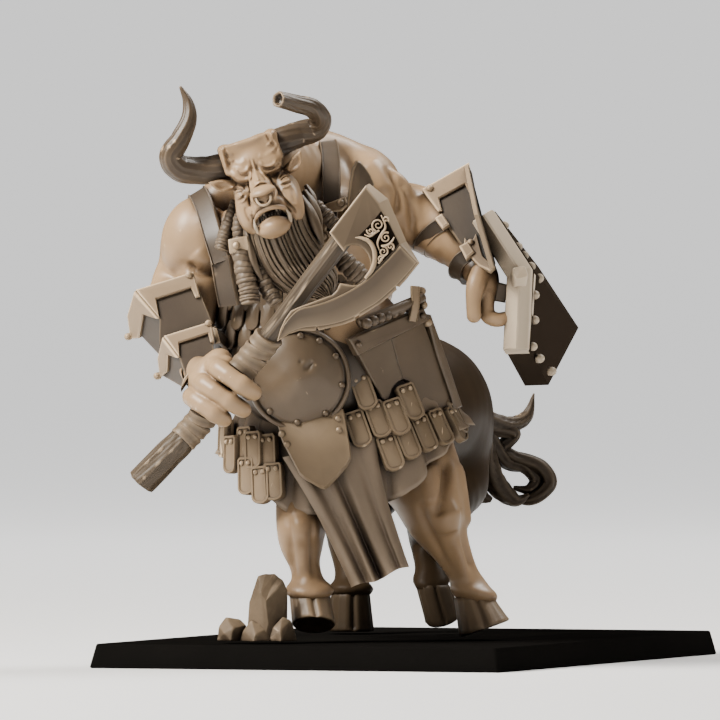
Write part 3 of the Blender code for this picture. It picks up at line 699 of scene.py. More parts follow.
class Clay:
    """Flesh built up like modelling clay: a field of distances on a box of small cells.

    Each form's distance is joined to the field by a soft least, least - (k - gap)^2 / 4k within a
    gap of k, and the skin is where the field is nought.
    """

    def __init__(self, low: Sequence[float], high: Sequence[float], step: float) -> None:
        """Lay out the cells from the low to the high corner.

        Args:
            low: The corner that is least in all three.
            high: The opposite corner.
            step: Side of a cell.
        """
        self.low = np.asarray(low, dtype=float)
        self.step = step
        self.axes = [np.arange(a, b + step, step) for a, b in zip(low, high)]
        self.field = np.full([len(a) for a in self.axes], 3.0, dtype=np.float32)

    def _window(self, low: np.ndarray, high: np.ndarray) -> tuple[tuple[slice, ...], list[np.ndarray]]:
        """Slices of the cells between two corners, and the places there as open arrays.

        Args:
            low: The lower corner.
            high: The upper corner.

        Returns:
            The slices and the three arrays.
        """
        cut = []
        for axis, a, b in zip(self.axes, low, high):
            cut.append(slice(max(int(np.searchsorted(axis, a)) - 1, 0), int(np.searchsorted(axis, b)) + 1))
        mesh = np.meshgrid(*[axis[s] for axis, s in zip(self.axes, cut)], indexing="ij", sparse=True)
        return tuple(cut), mesh

    def _blend(self, cut: tuple[slice, ...], distance: np.ndarray, soft: float, carve: bool) -> None:
        """Join a distance to the field, or carve it out of the field.

        Args:
            cut: The cells that are reached.
            distance: The form's distance in each.
            soft: Width of the join.
            carve: Whether the form is taken away.
        """
        old = self.field[cut]
        if carve:
            near = np.maximum(soft - np.abs(old + distance), 0) / soft
            self.field[cut] = np.maximum(old, -distance) + near ** 2 * soft / 4
        else:
            near = np.maximum(soft - np.abs(old - distance), 0) / soft
            self.field[cut] = np.minimum(old, distance) - near ** 2 * soft / 4

    def _spin(self, turn: Sequence[float]) -> np.ndarray:
        """Matrix that turns by degrees about across, then about deep, then about up."""
        across, deep, up = (Matrix.Rotation(math.radians(angle), 3, axis) for angle, axis in zip(turn, "XYZ"))
        return np.array(up @ deep @ across)

    def ball(self, place: Sequence[float], radii: Sequence[float], soft: float = 0.8,
             turn: Sequence[float] = (0.0, 0.0, 0.0), carve: bool = False) -> None:
        """Add an ellipsoid, turned about its middle by degrees about across, deep and up.

        Its distance is r (r - 1) / |grad r|, where r is the place's length in units of the radii.

        Args:
            place: Its middle.
            radii: Its three radii.
            soft: Width of the join with what is there.
            turn: The three turns.
            carve: Whether it is taken away.
        """
        place, radii = np.asarray(place, dtype=float), np.asarray(radii, dtype=float)
        spin = self._spin(turn)
        reach = np.abs(spin) @ radii + soft + 2 * self.step
        cut, mesh = self._window(place - reach, place + reach)
        shift = [m - p for m, p in zip(mesh, place)]
        local = [sum(spin[j][i] * shift[j] for j in range(3)) / radii[i] for i in range(3)]
        near = np.sqrt(sum(a * a for a in local))
        slope = np.sqrt(sum((a / r) ** 2 for a, r in zip(local, radii)))
        self._blend(cut, near * (near - 1) / np.maximum(slope, 1e-6), soft, carve)

    def block(self, place: Sequence[float], half: Sequence[float], round_: float, soft: float = 0.5,
              turn: Sequence[float] = (0.0, 0.0, 0.0)) -> None:
        """Add a block with rounded arrises, turned as a ball is.

        Args:
            place: Its middle.
            half: Half its three sides.
            round_: Radius of the arrises.
            soft: Width of the join with what is there.
            turn: The three turns.
        """
        place, half = np.asarray(place, dtype=float), np.asarray(half, dtype=float)
        spin = self._spin(turn)
        reach = np.abs(spin) @ half + soft + 2 * self.step
        cut, mesh = self._window(place - reach, place + reach)
        shift = [m - p for m, p in zip(mesh, place)]
        past = [np.abs(sum(spin[j][i] * shift[j] for j in range(3))) - half[i] + round_ for i in range(3)]
        outside = np.sqrt(sum(np.maximum(a, 0) ** 2 for a in past))
        inside = np.minimum(np.maximum(np.maximum(past[0], past[1]), past[2]), 0)
        self._blend(cut, outside + inside - round_, soft, False)

    def limb(self, knots: Knots, soft: float = 0.8, steps: int = 3, carve: bool = False) -> None:
        """Add a limb through knots of place and radius, as cones with round ends.

        Args:
            knots: Places and radius along it.
            soft: Width of the join with what is there.
            steps: Cones between two knots.
            carve: Whether it is taken away.
        """
        path = curve(knots, (len(knots) - 1) * steps + 1)
        reach = path[:, 3].max() + soft + 2 * self.step
        cut, mesh = self._window(path[:, :3].min(axis=0) - reach, path[:, :3].max(axis=0) + reach)
        distance = np.full(np.broadcast_shapes(*[m.shape for m in mesh]), 1e3)
        for a, b in zip(path[:-1], path[1:]):
            line = b[:3] - a[:3]
            shift = [m - p for m, p in zip(mesh, a[:3])]
            share = np.clip(sum(s * d for s, d in zip(shift, line)) / max(line @ line, 1e-9), 0, 1)
            gap = np.sqrt(sum((s - share * d) ** 2 for s, d in zip(shift, line)))
            distance = np.minimum(distance, gap - (a[3] + share * (b[3] - a[3])))
        self._blend(cut, distance, soft, carve)

    def skin(self, batch: Batch, lines: Lines = ()) -> None:
        """Add the skin: a point in each cell that the surface crosses, at the mean of its crossings.

        Each edge of the cells whose ends lie on two sides of the surface gives a crossing, by
        straight interpolation, and one quad between the four cells round it.

        Args:
            batch: What it is added to.
            lines: Knots, width and height of the lines drawn on the side that faces the viewer.
        """
        field_ = self.field
        inside = field_ < 0
        cells = tuple(n - 1 for n in field_.shape)
        total = np.zeros(cells + (3,), dtype=np.float32)
        number = np.zeros(cells, dtype=np.int16)
        crossings = []
        for axis in range(3):
            low = [slice(None)] * 3
            high = [slice(None)] * 3
            low[axis], high[axis] = slice(None, -1), slice(1, None)
            crossed = np.argwhere(inside[tuple(low)] != inside[tuple(high)])
            ahead = crossed.copy()
            ahead[:, axis] += 1
            a, b = field_[tuple(crossed.T)], field_[tuple(ahead.T)]
            place = crossed.astype(np.float32)
            place[:, axis] += a / (a - b)
            side_axes = [k for k in range(3) if k != axis]
            inner = np.ones(len(crossed), dtype=bool)
            for k in side_axes:
                inner &= (crossed[:, k] > 0) & (crossed[:, k] < cells[k])
            crossed, place, sign = crossed[inner], place[inner], a[inner] < 0
            round_ = []
            for i, j in ((-1, -1), (0, -1), (0, 0), (-1, 0)):
                cell = crossed.copy()
                cell[:, side_axes[0]] += i
                cell[:, side_axes[1]] += j
                np.add.at(total, tuple(cell.T), place)
                np.add.at(number, tuple(cell.T), 1)
                round_.append(np.ravel_multi_index(tuple(cell.T), cells))
            crossings.append((np.stack(round_, axis=1), sign, axis))
        used = np.flatnonzero(number.ravel())
        order = np.full(number.size, -1, dtype=np.int64)
        order[used] = np.arange(len(used))
        points = total.reshape(-1, 3)[used] / number.ravel()[used][:, None]
        quads = []
        for cell, sign, axis in crossings:
            quad = order[cell]
            turned = sign if axis != 1 else ~sign
            quad[~turned] = quad[~turned][:, ::-1]
            quads.append(quad)
        quads = np.vstack(quads)
        points = self._eased(points, quads)
        points = points * self.step + self.low
        if lines:
            points = points + self._drawn(points, quads, lines)
        batch.add(points, quads)

    def _drawn(self, points: np.ndarray, quads: np.ndarray, lines: Lines) -> np.ndarray:
        """Moves that raise or sink the drawn lines where the skin faces the viewer.

        Args:
            points: The skin's points.
            quads: Its faces.
            lines: Knots, width and height of each line.

        Returns:
            The move of each point.
        """
        out = np.cross(points[quads[:, 2]] - points[quads[:, 0]], points[quads[:, 3]] - points[quads[:, 1]])
        weights = [sum(np.bincount(corner, weights=out[:, k], minlength=len(points)) for corner in quads.T)
                   for k in range(3)]
        normal = unit(np.stack(weights, axis=1))
        share = np.clip(-1.8 * normal[:, 1] - 0.1, 0, 1)
        return normal * (strokes(points[:, 0], points[:, 2], lines) * share)[:, None]

    def _eased(self, points: np.ndarray, quads: np.ndarray, rounds: int = 3) -> np.ndarray:
        """Ease the points: each moves half way to its neighbours' mean, in a few rounds.

        Args:
            points: The skin's points.
            quads: Its faces.
            rounds: How often they are eased.

        Returns:
            The eased points.
        """
        ends = np.vstack([quads[:, [0, 1]], quads[:, [1, 2]], quads[:, [2, 3]], quads[:, [3, 0]]])
        number = np.bincount(ends[:, 0], minlength=len(points))[:, None]
        for _ in range(rounds):
            total = np.stack([np.bincount(ends[:, 0], weights=points[ends[:, 1], k], minlength=len(points))
                              for k in range(3)], axis=1)
            points = points * 0.5 + total / np.maximum(number, 1) * 0.5
        return points


@dataclass
class Axe:
    """Long axe: faceted haft, leather wraps, broad spike and bearded blade with scrollwork."""

    knots: Knots = ((-30.3, -27.4, 18.4), (-24.6, -28.9, 24.3), (-21.4, -30.2, 28.3), (-18.3, -31.5, 31.9),
                    (-14.5, -33.0, 36.7), (-10.0, -35.0, 43.1), (-6.6, -35.6, 47.4))
    grip_along: float = 13.9
    haft_radius: float = 1.14
    butt_radius: float = 1.68
    blade_deep: float = -37.4
    lip: float = 0.12

    def __post_init__(self) -> None:
        """Measure the haft along its bow."""
        self.bow = curve(self.knots, 200)
        steps = np.linalg.norm(np.diff(self.bow, axis=0), axis=1)
        self.lengths = np.concatenate([[0.0], np.cumsum(steps)])
        self.length = float(self.lengths[-1])
        self.line, self.side, self.face = self.axes(self.grip_along)
        self.grip = self.at(self.grip_along)

    def axes(self, along: float) -> tuple[np.ndarray, np.ndarray, np.ndarray]:
        """Directions along the haft, to its lower right and out to the viewer, at a length along it.

        Args:
            along: The length along the haft.

        Returns:
            The three directions.
        """
        ahead, behind = (self.middle(along + step) for step in (0.5, -0.5))
        line = unit((ahead - behind)[None])[0]
        side = unit(np.cross(line, VIEWER)[None])[0]
        side = side if side[0] > 0 else -side
        face = np.cross(side, line)
        return line, side, face if face[1] < 0 else -face

    def middle(self, along: float) -> np.ndarray:
        """Middle of the haft at a length along it, straight on past its ends.

        Args:
            along: The length along the haft.

        Returns:
            The place.
        """
        inside = min(max(along, 0.0), self.length)
        place = np.array([np.interp(inside, self.lengths, self.bow[:, k]) for k in range(3)])
        end = -2 if inside > self.length / 2 else 0
        line = unit((self.bow[end + 1] - self.bow[end])[None])[0]
        return place + line * (along - inside)

    def at(self, along: float, side: float = 0.0, out: float = 0.0) -> np.ndarray:
        """Place at a length along the haft, to its side and out of its face."""
        _, to_side, to_face = self.axes(along)
        return self.middle(along) + to_side * side + to_face * out

    def build(self) -> None:
        """Build the haft, the wraps, the head and the blade's ornament."""
        self._haft()
        self._wraps()
        self._head()
        self._blade()
        self._scrolls()

    def _haft(self) -> None:
        """Haft of eight flats with carved grain; the butt is thicker."""
        batch = Batch()
        knots = [(*self.at(along), radius) for along, radius in (
            (0.0, self.butt_radius * 0.9), (0.35, self.butt_radius), (6.6, self.butt_radius * 0.93),
            (7.6, self.haft_radius), (16.0, self.haft_radius), (24.0, self.haft_radius * 0.97),
            (self.length, self.haft_radius * 1.06))]

        def grain(share: np.ndarray, angle: np.ndarray) -> np.ndarray:
            """Eight flats, with long waves of grain that drift round the haft.

            Args:
                share: Share of the way along.
                angle: Angle round the haft.

            Returns:
                Factor of the radius.
            """
            flats = 1.0 / np.cos((angle % (math.pi / 4)) - math.pi / 8)
            drift = angle * 9 + 5.0 * np.sin(share * 9.0) + 1.5 * np.sin(share * 31.0)
            return (0.94 * flats) * (1 + 0.020 * np.sin(drift) + 0.012 * np.sin(angle * 21 + share * 40))
        swept(batch, knots, 150, 96, relief=grain)
        batch.build("axe_haft", WOOD)

    def _wraps(self) -> None:
        """Leather bands wound round the haft: overlapping turns, each a slanted ring."""
        batch = Batch()
        angle = 2 * math.pi * np.arange(30) / 30
        for start, end, turns, swell in ((6.7, 11.0, 3, 1.38), (17.2, 22.8, 4, 1.38)):
            width = (end - start) / turns
            for k in range(turns):
                lean = (0.55, 0.3)[k % 2]
                rings = []
                for share, lift in ((0.0, 0.9), (0.0, 1.0), (0.14, 1.08), (0.5, 1.03), (0.88, 1.1),
                                    (1.03, 1.02), (1.06, 0.9)):
                    reach = self.haft_radius * swell * lift * (1 + 0.012 * np.sin(angle * 3 + k))
                    _, to_side, to_face = self.axes(start + width * (k + share))
                    along = start + width * (k - 0.1 + share)
                    rings.append(self.middle(along) + (lean * np.sin(angle + 0.8 * k))[:, None] * self.line
                                 + (np.cos(angle) * reach)[:, None] * to_side
                                 + (np.sin(angle) * reach)[:, None] * to_face)
                batch.grid(np.array(rings))
        batch.build("axe_wraps", LEATHER, Surface.CREASED)

    def _head(self) -> None:
        """Broad curved spike that stands up behind the blade."""
        batch = Batch()
        lay = faced((-7.0, -24.0, 50.0), (-4.0, -23.6, 50.0), (-5.5, -24.0, 55.0))
        outline = [(-5.74, 55.04), (-6.2, 54.0), (-6.4, 52.86), (-6.6, 51.5), (-6.8, 49.9), (-6.3, 48.8),
                   (-3.8, 50.7), (-3.75, 52.4), (-4.14, 53.3), (-4.7, 54.2), (-5.3, 54.87)]
        plate(batch, outline, lay, 1.2, 0.2, dome=0.5, spacing=0.3, rings=6)
        batch.build("axe_spike", STEEL)

    def outline(self) -> np.ndarray:
        """Head outline from the socket's top corner: back, toe, nicked edge, beard tip and notch.

        Returns:
            The outline's points, across and up.
        """
        edge = [(-4.75, 52.3), (-3.2, 50.3), (-0.73, 45.63), (1.4, 43.46), (0.76, 42.67), (-0.16, 41.52),
                (-0.9, 40.7),
                (-1.35, 40.85), (-1.2, 40.4), (-2.21, 39.55), (-3.12, 38.79), (-4.49, 37.93), (-5.5, 37.3),
                (-6.02, 38.5), (-5.86, 36.96), (-7.34, 36.39), (-8.7, 36.1), (-10.08, 35.75), (-10.31, 36.1),
                (-10.45, 35.71), (-12.24, 35.75), (-13.5, 35.35), (-14.85, 34.5), (-14.52, 35.8),
                (-14.0, 37.0), (-13.3, 38.0), (-12.47, 38.39), (-11.1, 38.9), (-9.74, 39.41), (-8.59, 39.81),
                (-8.02, 40.38), (-7.68, 41.15)]
        turn = np.radians(np.linspace(-92, 112, 14))
        notch = np.column_stack([-6.15 + 1.95 * np.cos(turn), 43.2 + 2.3 * np.sin(turn)])
        return np.vstack([edge, notch, [(-7.25, 44.75), (-8.9, 46.9)]])

    def _blade(self) -> None:
        """Socket and blade: one face to the viewer, its thick back turned to the upper right.

        The back is drawn to the upper right where the head is thick, and not at all at the toe and
        along the cutting edge, whose band is ground down from the ridge line to the edge.
        """
        outline = anticlockwise(self.outline())
        batch = Batch()
        toe, top = np.array([1.4, 43.46]), np.array([-4.75, 52.3])
        share = np.clip((outline - toe) @ unit((top - toe)[None])[0] / 9.0, 0, 1)
        upper = ((outline[:, 1] > 43.4) & (outline[:, 0] + 0.55 * outline[:, 1] > 22.2)).astype(float)
        thick = (outline[:, 1] > 45.0).astype(float)
        far = upper * np.minimum(1.5 * share ** 0.7, 1.35) * (1 - 0.65 * np.clip(share * 9.0 - 8.0, 0, 1))
        shift = far[:, None] * np.array([0.88, 0.42])
        inner = inset(outline, self.lip)
        depth = self.blade_deep
        behind = 0.9 + 1.9 * thick * np.clip((outline[:, 1] - 42.0) / 4.0, 0, 1)

        def ring(flat: np.ndarray, deep: np.ndarray | float) -> np.ndarray:
            """A ring of the outline at a depth."""
            return np.column_stack([flat[:, 0], np.full(len(flat), depth) + deep, flat[:, 1]])
        rings = [ring(inner + shift, behind + 0.06), ring(outline + shift, behind - 0.06),
                 ring(outline, 0.14), ring(inner, 0.0), ring(inset(outline, 0.3), 0.0)]
        batch.grid(np.array(rings), poles=False)
        batch.build("axe_blade", STEEL, Surface.CUT)
        self._band()

    def _band(self) -> None:
        """Ground band of the cutting edge: a strip that rises to a ridge and falls to the edge."""
        batch = Batch()
        ridge = curve([(-0.85, 45.4), (-1.98, 44.1), (-3.35, 42.75), (-4.72, 41.5), (-6.54, 40.3),
                       (-8.82, 39.2), (-10.65, 38.6), (-12.47, 38.1), (-13.9, 36.6), (-14.6, 34.9)], 60)
        edge = curve([(1.1, 43.4), (0.3, 42.4), (-1.1, 40.9), (-3.3, 38.95), (-4.7, 38.1), (-6.5, 37.0),
                      (-9.0, 36.3), (-11.8, 36.0), (-13.4, 35.5), (-14.7, 34.7)], 60)
        depth = self.blade_deep
        rings = []
        for share, rise in ((-0.02, 0.05), (0.0, -0.17), (0.05, -0.20), (0.1, -0.16), (0.9, -0.05),
                            (1.0, 0.05)):
            flat = ridge + (edge - ridge) * share
            rings.append(np.column_stack([flat[:, 0], np.full(60, depth + rise), flat[:, 1]]))
        rings.append(rings[0] + np.array([0, 0.2, 0]))
        rings = np.moveaxis(np.array(rings), 0, 1)
        batch.grid(rings, poles=False)
        batch.build("axe_band", STEEL, Surface.CREASED)

    def _scrolls(self) -> None:
        """Sunk panel on the head with a raised lip and scrolling leaves: spirals that wind in."""
        depth = self.blade_deep
        lay = plane((0, depth - 0.03, 0), (1, 0, 0), (0, 0, 1))
        # The sunk panel is near black: painted shade in the recess.
        ground = Batch()
        slab(ground, [(-3.0, 49.4), (-1.95, 47.7), (-0.95, 45.65), (-1.75, 44.7), (-2.6, 43.8),
                      (-3.5, 43.0), (-3.5, 44.0),
                      (-3.7, 45.0), (-4.1, 45.8), (-4.8, 46.35), (-5.5, 46.6), (-4.6, 47.5), (-3.7, 48.5)],
             lay, 0.1, 0.02)
        ground.build("axe_panel", SHADE, Surface.CREASED)
        batch = Batch()
        front = depth - 0.16
        swept(batch, [(-5.95, front, 46.35, 0.05), (-5.2, front, 46.3, 0.2), (-4.3, front, 45.85, 0.26),
                      (-3.78, front, 44.9, 0.28),
                      (-3.72, front, 43.7, 0.28), (-4.1, front, 42.6, 0.26), (-4.8, front, 41.7, 0.16)], 50,
              12, flat=0.8)
        for centre, size, start, turns, hand in (
                ((-3.35, 47.8), 0.72, 250, 1.6, -1), ((-2.45, 46.35), 0.62, 60, 1.5, 1),
                ((-2.75, 44.75), 0.6, 100, 1.5, -1), ((-1.95, 45.35), 0.45, -60, 1.3, 1),
                ((-4.2, 47.1), 0.42, 160, 1.3, 1), ((-3.05, 43.9), 0.34, 60, 1.2, 1),
                ((-2.5, 48.4), 0.36, -30, 1.2, 1)):
            angle = np.radians(start) + hand * np.linspace(0, turns * 2 * math.pi, 44)
            reach = size * np.linspace(1.0, 0.14, 44)
            path = np.column_stack([centre[0] + reach * np.cos(angle), np.full(44, front),
                                    centre[1] + reach * np.sin(angle), 0.12 * np.linspace(1.0, 0.6, 44)])
            batch.grid(tube(path, 8, flat=1.3))
        for knots in ([(-3.0, 48.9), (-2.5, 47.6), (-3.0, 46.7), (-3.4, 45.8), (-3.2, 44.9)],
                      [(-4.9, 46.7), (-4.3, 46.5), (-3.7, 46.9), (-3.2, 47.2)],
                      [(-1.5, 46.4), (-1.8, 45.9), (-2.3, 45.5), (-3.0, 45.4)],
                      [(-2.2, 44.6), (-2.8, 44.1), (-3.3, 43.4)]):
            swept(batch, [(x, front, z, r) for (x, z), r in zip(knots, (0.06, 0.13, 0.15, 0.12, 0.05))], 26,
                  8)
        batch.build("axe_scrolls", TRIM)


AXE = Axe()


@dataclass
class Flesh:
    """The human torso and arms with the tunic, and the bull's barrel and legs."""

    torso_step: float = 0.30
    bull_step: float = 0.33
    hand_step: float = 0.15
    tunic_step: float = 0.4

    def build(self) -> None:
        """Build the tunic, the torso with the arms, the bull's body, and both hands."""
        self._tunic()
        self._torso()
        self._bull()
        self._right_hand()
        self._left_hand()

    def _tunic(self) -> None:
        """Dark padded tunic that fills the belly behind the scales and plates."""
        clay = Clay((-24.5, -25.0, 22.0), (3.0, -2.5, 47.0), self.tunic_step)
        clay.ball((-13.3, -15.5, 35.6), (9.3, 7.0, 9.6), 0.5)
        clay.ball((-10.4, -16.2, 31.2), (9.6, 7.2, 8.2), 0.8)
        batch = Batch()
        clay.skin(batch)
        batch.build("tunic", DARK_PLATE)

    def _torso(self) -> None:
        """Back, belly, chest and both arms down to the wrists."""
        clay = Clay((-33.5, -26.5, 20.5), (12.5, 2.5, 60.5), self.torso_step)
        for place, radii, turn in (
                ((-9.6, -14.0, 33.0), (10.5, 8.8, 9.0), (0, 6, 0)),
                ((-12.3, -13.2, 43.5), (10.0, 7.6, 9.0), (0, 8, 0)),
                ((-12.2, -10.5, 49.6), (9.4, 6.4, 6.2), (0, 6, 0)),
                ((-8.3, -12.0, 27.0), (10.0, 9.3, 6.5), (0, 4, 0)),
                ((-17.4, -18.4, 46.4), (5.0, 3.4, 3.7), (0, 10, 12)),
                ((-7.9, -17.2, 47.8), (5.0, 3.4, 3.7), (0, 4, -12)),
                ((-19.6, -8.6, 42.5), (3.0, 4.6, 7.4), (0, 8, 0)),
                ((-4.2, -7.8, 42.5), (3.0, 4.6, 7.4), (0, 4, 0)),
                ((-16.6, -6.0, 49.5), (4.0, 2.6, 4.4), (0, 22, 0)),
                ((-7.6, -5.4, 50.5), (4.0, 2.6, 4.4), (0, -12, 0))):
            clay.ball(place, radii, 1.2, turn)
        clay.limb([(-12.4, -12.5, 50.5, 6.6), (-15.0, -18.0, 53.2, 5.2), (-16.6, -23.0, 54.0, 4.0)], 1.6)
        clay.limb([(-15.0, -13.5, 55.2, 3.0), (-19.0, -13.2, 52.6, 2.7), (-23.0, -13.6, 49.4, 2.2)], 1.4)
        clay.limb([(-11.5, -12.0, 56.0, 3.0), (-8.6, -10.6, 55.6, 2.6), (-5.0, -9.6, 54.4, 2.2)], 1.4)
        clay.limb([(-12.2, -3.2, 53.5, 0.8), (-11.4, -4.8, 44.0, 0.9), (-9.0, -3.4, 31.0, 0.9)], 1.8,
                  carve=True)
        self._right_arm(clay)
        self._left_arm(clay)
        batch = Batch()
        clay.skin(batch, lines=(
            (((-2.4, 54.5), (-1.15, 52.2), (-0.9, 50.5), (-1.25, 48.6)), 0.55, -0.8),
            (((-0.8, 53.3), (0.25, 50.9), (0.7, 48.4), (0.6, 45.9)), 0.45, -0.55),
            (((-4.6, 55.0), (-3.4, 53.4), (-2.9, 51.2)), 1.1, 0.4),
            (((1.0, 47.8), (1.9, 46.0), (3.6, 43.8)), 0.9, 0.3),
            (((-25.2, 43.3), (-24.2, 42.4), (-22.9, 42.0), (-21.4, 42.2)), 0.4, -0.65),
            (((-24.4, 44.6), (-23.4, 43.6), (-22.2, 43.4)), 0.9, 0.35),
            (((-21.3, 49.4), (-21.0, 46.6), (-21.4, 43.6)), 0.6, -0.5)))
        batch.build("torso", SKIN)

    def _right_arm(self, clay: Clay) -> None:
        """Shoulder, biceps, triceps and forearm of the axe arm.

        Args:
            clay: What it is added to.
        """
        clay.ball((-24.5, -14.6, 45.9), (3.8, 4.3, 5.0), 0.8, (0, 10, 0))
        clay.ball((-22.9, -17.4, 45.6), (2.5, 1.9, 4.3), 0.6, (0, 10, 0))
        clay.ball((-26.0, -12.0, 45.4), (2.4, 3.0, 4.4), 0.7, (0, 10, 0))
        clay.limb([(-23.9, -15.6, 42.6, 2.5), (-23.7, -16.6, 40.8, 2.7), (-23.8, -17.4, 38.8, 2.3)], 0.6)
        clay.limb([(-26.0, -13.2, 43.2, 2.4), (-26.9, -13.2, 41.0, 2.5), (-27.8, -14.0, 38.8, 2.0)], 0.7)
        clay.limb([(-27.2, -15.0, 38.8, 2.8), (-26.0, -19.0, 35.8, 2.6), (-24.4, -24.2, 31.8, 2.1),
                   (-23.6, -26.6, 30.4, 2.0)], 0.9)
        clay.limb([(-24.2, -15.6, 40.2, 2.1), (-23.9, -17.6, 38.0, 2.0), (-24.0, -21.4, 35.0, 1.7)], 0.8)

    def _left_arm(self, clay: Clay) -> None:
        """Shoulder, biceps, triceps and forearm of the shield arm.

        Args:
            clay: What it is added to.
        """
        clay.ball((-4.9, -10.2, 52.0), (4.2, 4.6, 4.3), 0.9, (0, 18, 0))
        clay.ball((-2.8, -12.6, 50.6), (3.6, 2.2, 3.6), 0.6, (0, 28, 0))
        clay.ball((-5.2, -7.4, 52.0), (3.8, 3.0, 3.8), 0.7, (0, 18, 0))
        clay.limb([(-2.8, -10.8, 50.0, 2.9), (-0.2, -10.4, 48.9, 3.1), (1.8, -9.6, 48.2, 2.6)], 0.7)
        clay.limb([(-2.0, -7.8, 50.0, 2.6), (0.4, -6.9, 49.8, 2.6), (2.2, -6.9, 49.4, 2.4)], 0.7)
        clay.limb([(1.6, -8.2, 48.0, 3.5), (4.2, -10.0, 46.6, 3.3), (7.0, -12.6, 44.0, 2.3),
                   (8.6, -15.0, 41.9, 1.8)], 0.9)
        clay.limb([(2.0, -9.4, 49.4, 2.6), (4.0, -11.2, 47.6, 2.5), (6.4, -13.2, 44.6, 1.7)], 0.7)

    def _bull(self) -> None:
        """Barrel, rump, four legs with tendons, and the skin cuffs over the hooves."""
        clay = Clay((-21.0, -24.5, 0.6), (13.5, 28.5, 37.5), self.bull_step)
        clay.limb([(-6.5, -10, 23.5, 7.6), (-2.5, 2, 25.0, 8.4), (0.9, 11.5, 25.9, 8.7),
                   (2.0, 17.5, 24.4, 8.1)], 1.2, steps=5)
        for place, radii, turn in (
                ((5.0, 15.0, 23.5), (4.8, 7.4, 9.0), (0, -6, 0)),
                ((-4.2, 15.6, 22.5), (4.8, 7.2, 8.6), (0, 6, 0)),
                ((0.2, -8.2, 21.4), (4.4, 5.6, 6.8), (0, -10, 0)),
                ((-11.0, -10.6, 20.6), (4.2, 5.4, 6.4), (0, 8, 0)),
                ((6.6, 21.0, 25.6), (2.2, 2.6, 2.4), (0, 0, 0))):
            clay.ball(place, radii, 1.3, turn)
        clay.limb([(-2.6, 22.4, 30.0, 0.5), (2.6, 25.2, 28.0, 0.5), (4.0, 26.4, 22.0, 0.6)], 1.4, carve=True)
        for knots in (
                [(-4.4, 15, 17.5, 4.8), (-6.2, 14, 14.6, 3.7), (-6.9, 16.4, 10.6, 2.35),
                 (-6.7, 14.2, 7.6, 1.75), (-6.5, 12.8, 5.6, 1.85)],
                [(4.8, 13, 17.5, 4.8), (3.2, 8.8, 14.6, 3.5), (2.3, 14.4, 11.2, 2.15),
                 (2.4, 12.4, 8.8, 1.65), (2.8, 10.4, 6.6, 1.7)],
                [(0.8, -9, 20.0, 5.2), (2.2, -11, 17.2, 4.4), (3.2, -13, 14.0, 3.5),
                 (4.9, -12.8, 10.6, 2.35), (6.5, -12, 7.4, 1.75), (7.4, -11.7, 5.6, 1.95)],
                [(-10.4, -13, 19.5, 4.6), (-11.6, -17, 16.0, 3.5), (-12.1, -19, 13.2, 2.95),
                 (-12.15, -19.4, 11.2, 2.55), (-11.8, -20, 8.8, 1.8), (-11.4, -20.3, 6.8, 1.75)]):
            clay.limb(knots, 1.0, steps=4)
        self._tendons(clay)
        self._cuffs(clay)
        batch = Batch()
        clay.skin(batch, lines=(
            (((4.5, 20.6), (4.35, 18.2), (3.9, 15.9), (3.5, 13.8)), 0.5, -0.75),
            (((5.1, 20.6), (5.3, 16.8), (5.8, 13.6)), 0.7, 0.4),
            (((1.8, 20.2), (2.6, 17.6), (3.0, 15.2)), 1.5, 0.6),
            (((4.3, 14.6), (4.7, 13.3), (5.1, 12.1)), 1.2, 0.45),
            (((1.3, 15.8), (2.5, 12.7), (3.8, 10.1), (5.3, 7.0)), 0.5, -0.45),
            (((6.4, 14.0), (6.7, 10.9), (7.6, 7.6)), 0.45, -0.4),
            (((5.3, 11.6), (6.3, 8.6), (7.1, 6.0)), 0.55, 0.4),
            (((-12.5, 14.4), (-12.1, 10.8), (-11.8, 7.2)), 0.75, 0.4),
            (((-13.8, 14.6), (-13.3, 10.8), (-12.8, 6.8)), 0.4, -0.35),
            (((-10.8, 14.2), (-10.9, 10.4), (-10.7, 6.8)), 0.4, -0.35)))
        # The hide darkens towards the rear: painted shade.
        batch.build("bull_body", HIDE)

    def _tendons(self, clay: Clay) -> None:
        """Kneecaps, the groove between the thigh's muscles and the cords down the shanks.

        Args:
            clay: What they are added to.
        """
        clay.ball((4.2, -15.6, 13.8), (1.9, 1.3, 2.0), 0.8)
        clay.ball((-11.9, -21.4, 12.6), (1.8, 1.2, 1.9), 0.8)
        clay.limb([(2.0, -14.6, 19.2, 1.5), (3.0, -15.2, 16.4, 1.2), (4.0, -15.8, 14.4, 0.9)], 0.7)
        clay.limb([(5.6, -11.0, 19.0, 1.1), (6.2, -11.6, 16.0, 1.0), (6.6, -12.4, 13.6, 0.9)], 0.6)
        clay.limb([(4.8, -14.4, 11.6, 0.9), (5.9, -13.2, 8.4, 0.7), (6.9, -13.0, 6.4, 0.9)], 0.6)
        clay.limb([(-11.8, -21.0, 10.6, 0.8), (-11.5, -21.2, 8.2, 0.6), (-11.3, -21.8, 6.6, 0.8)], 0.6)

    def _cuffs(self, clay: Clay) -> None:
        """Swollen skin above each hoof.

        Args:
            clay: What it is added to.
        """
        for place, radii, turn in (((7.75, -11.9, 5.2), (2.85, 2.8, 1.2), (0, 14, 0)),
                                   ((-11.2, -20.9, 5.7), (2.85, 2.8, 1.25), (10, 0, 0)),
                                   ((-6.5, 12.3, 4.9), (2.7, 2.6, 1.2), (0, 0, 0)),
                                   ((2.9, 9.7, 6.0), (2.2, 2.3, 1.2), (30, 0, 0))):
            clay.ball(place, radii, 0.7, turn)
            clay.ball((place[0], place[1], place[2] - 1.6), (radii[0] * 0.7, radii[1] * 0.7, 1.6), 0.3, turn)

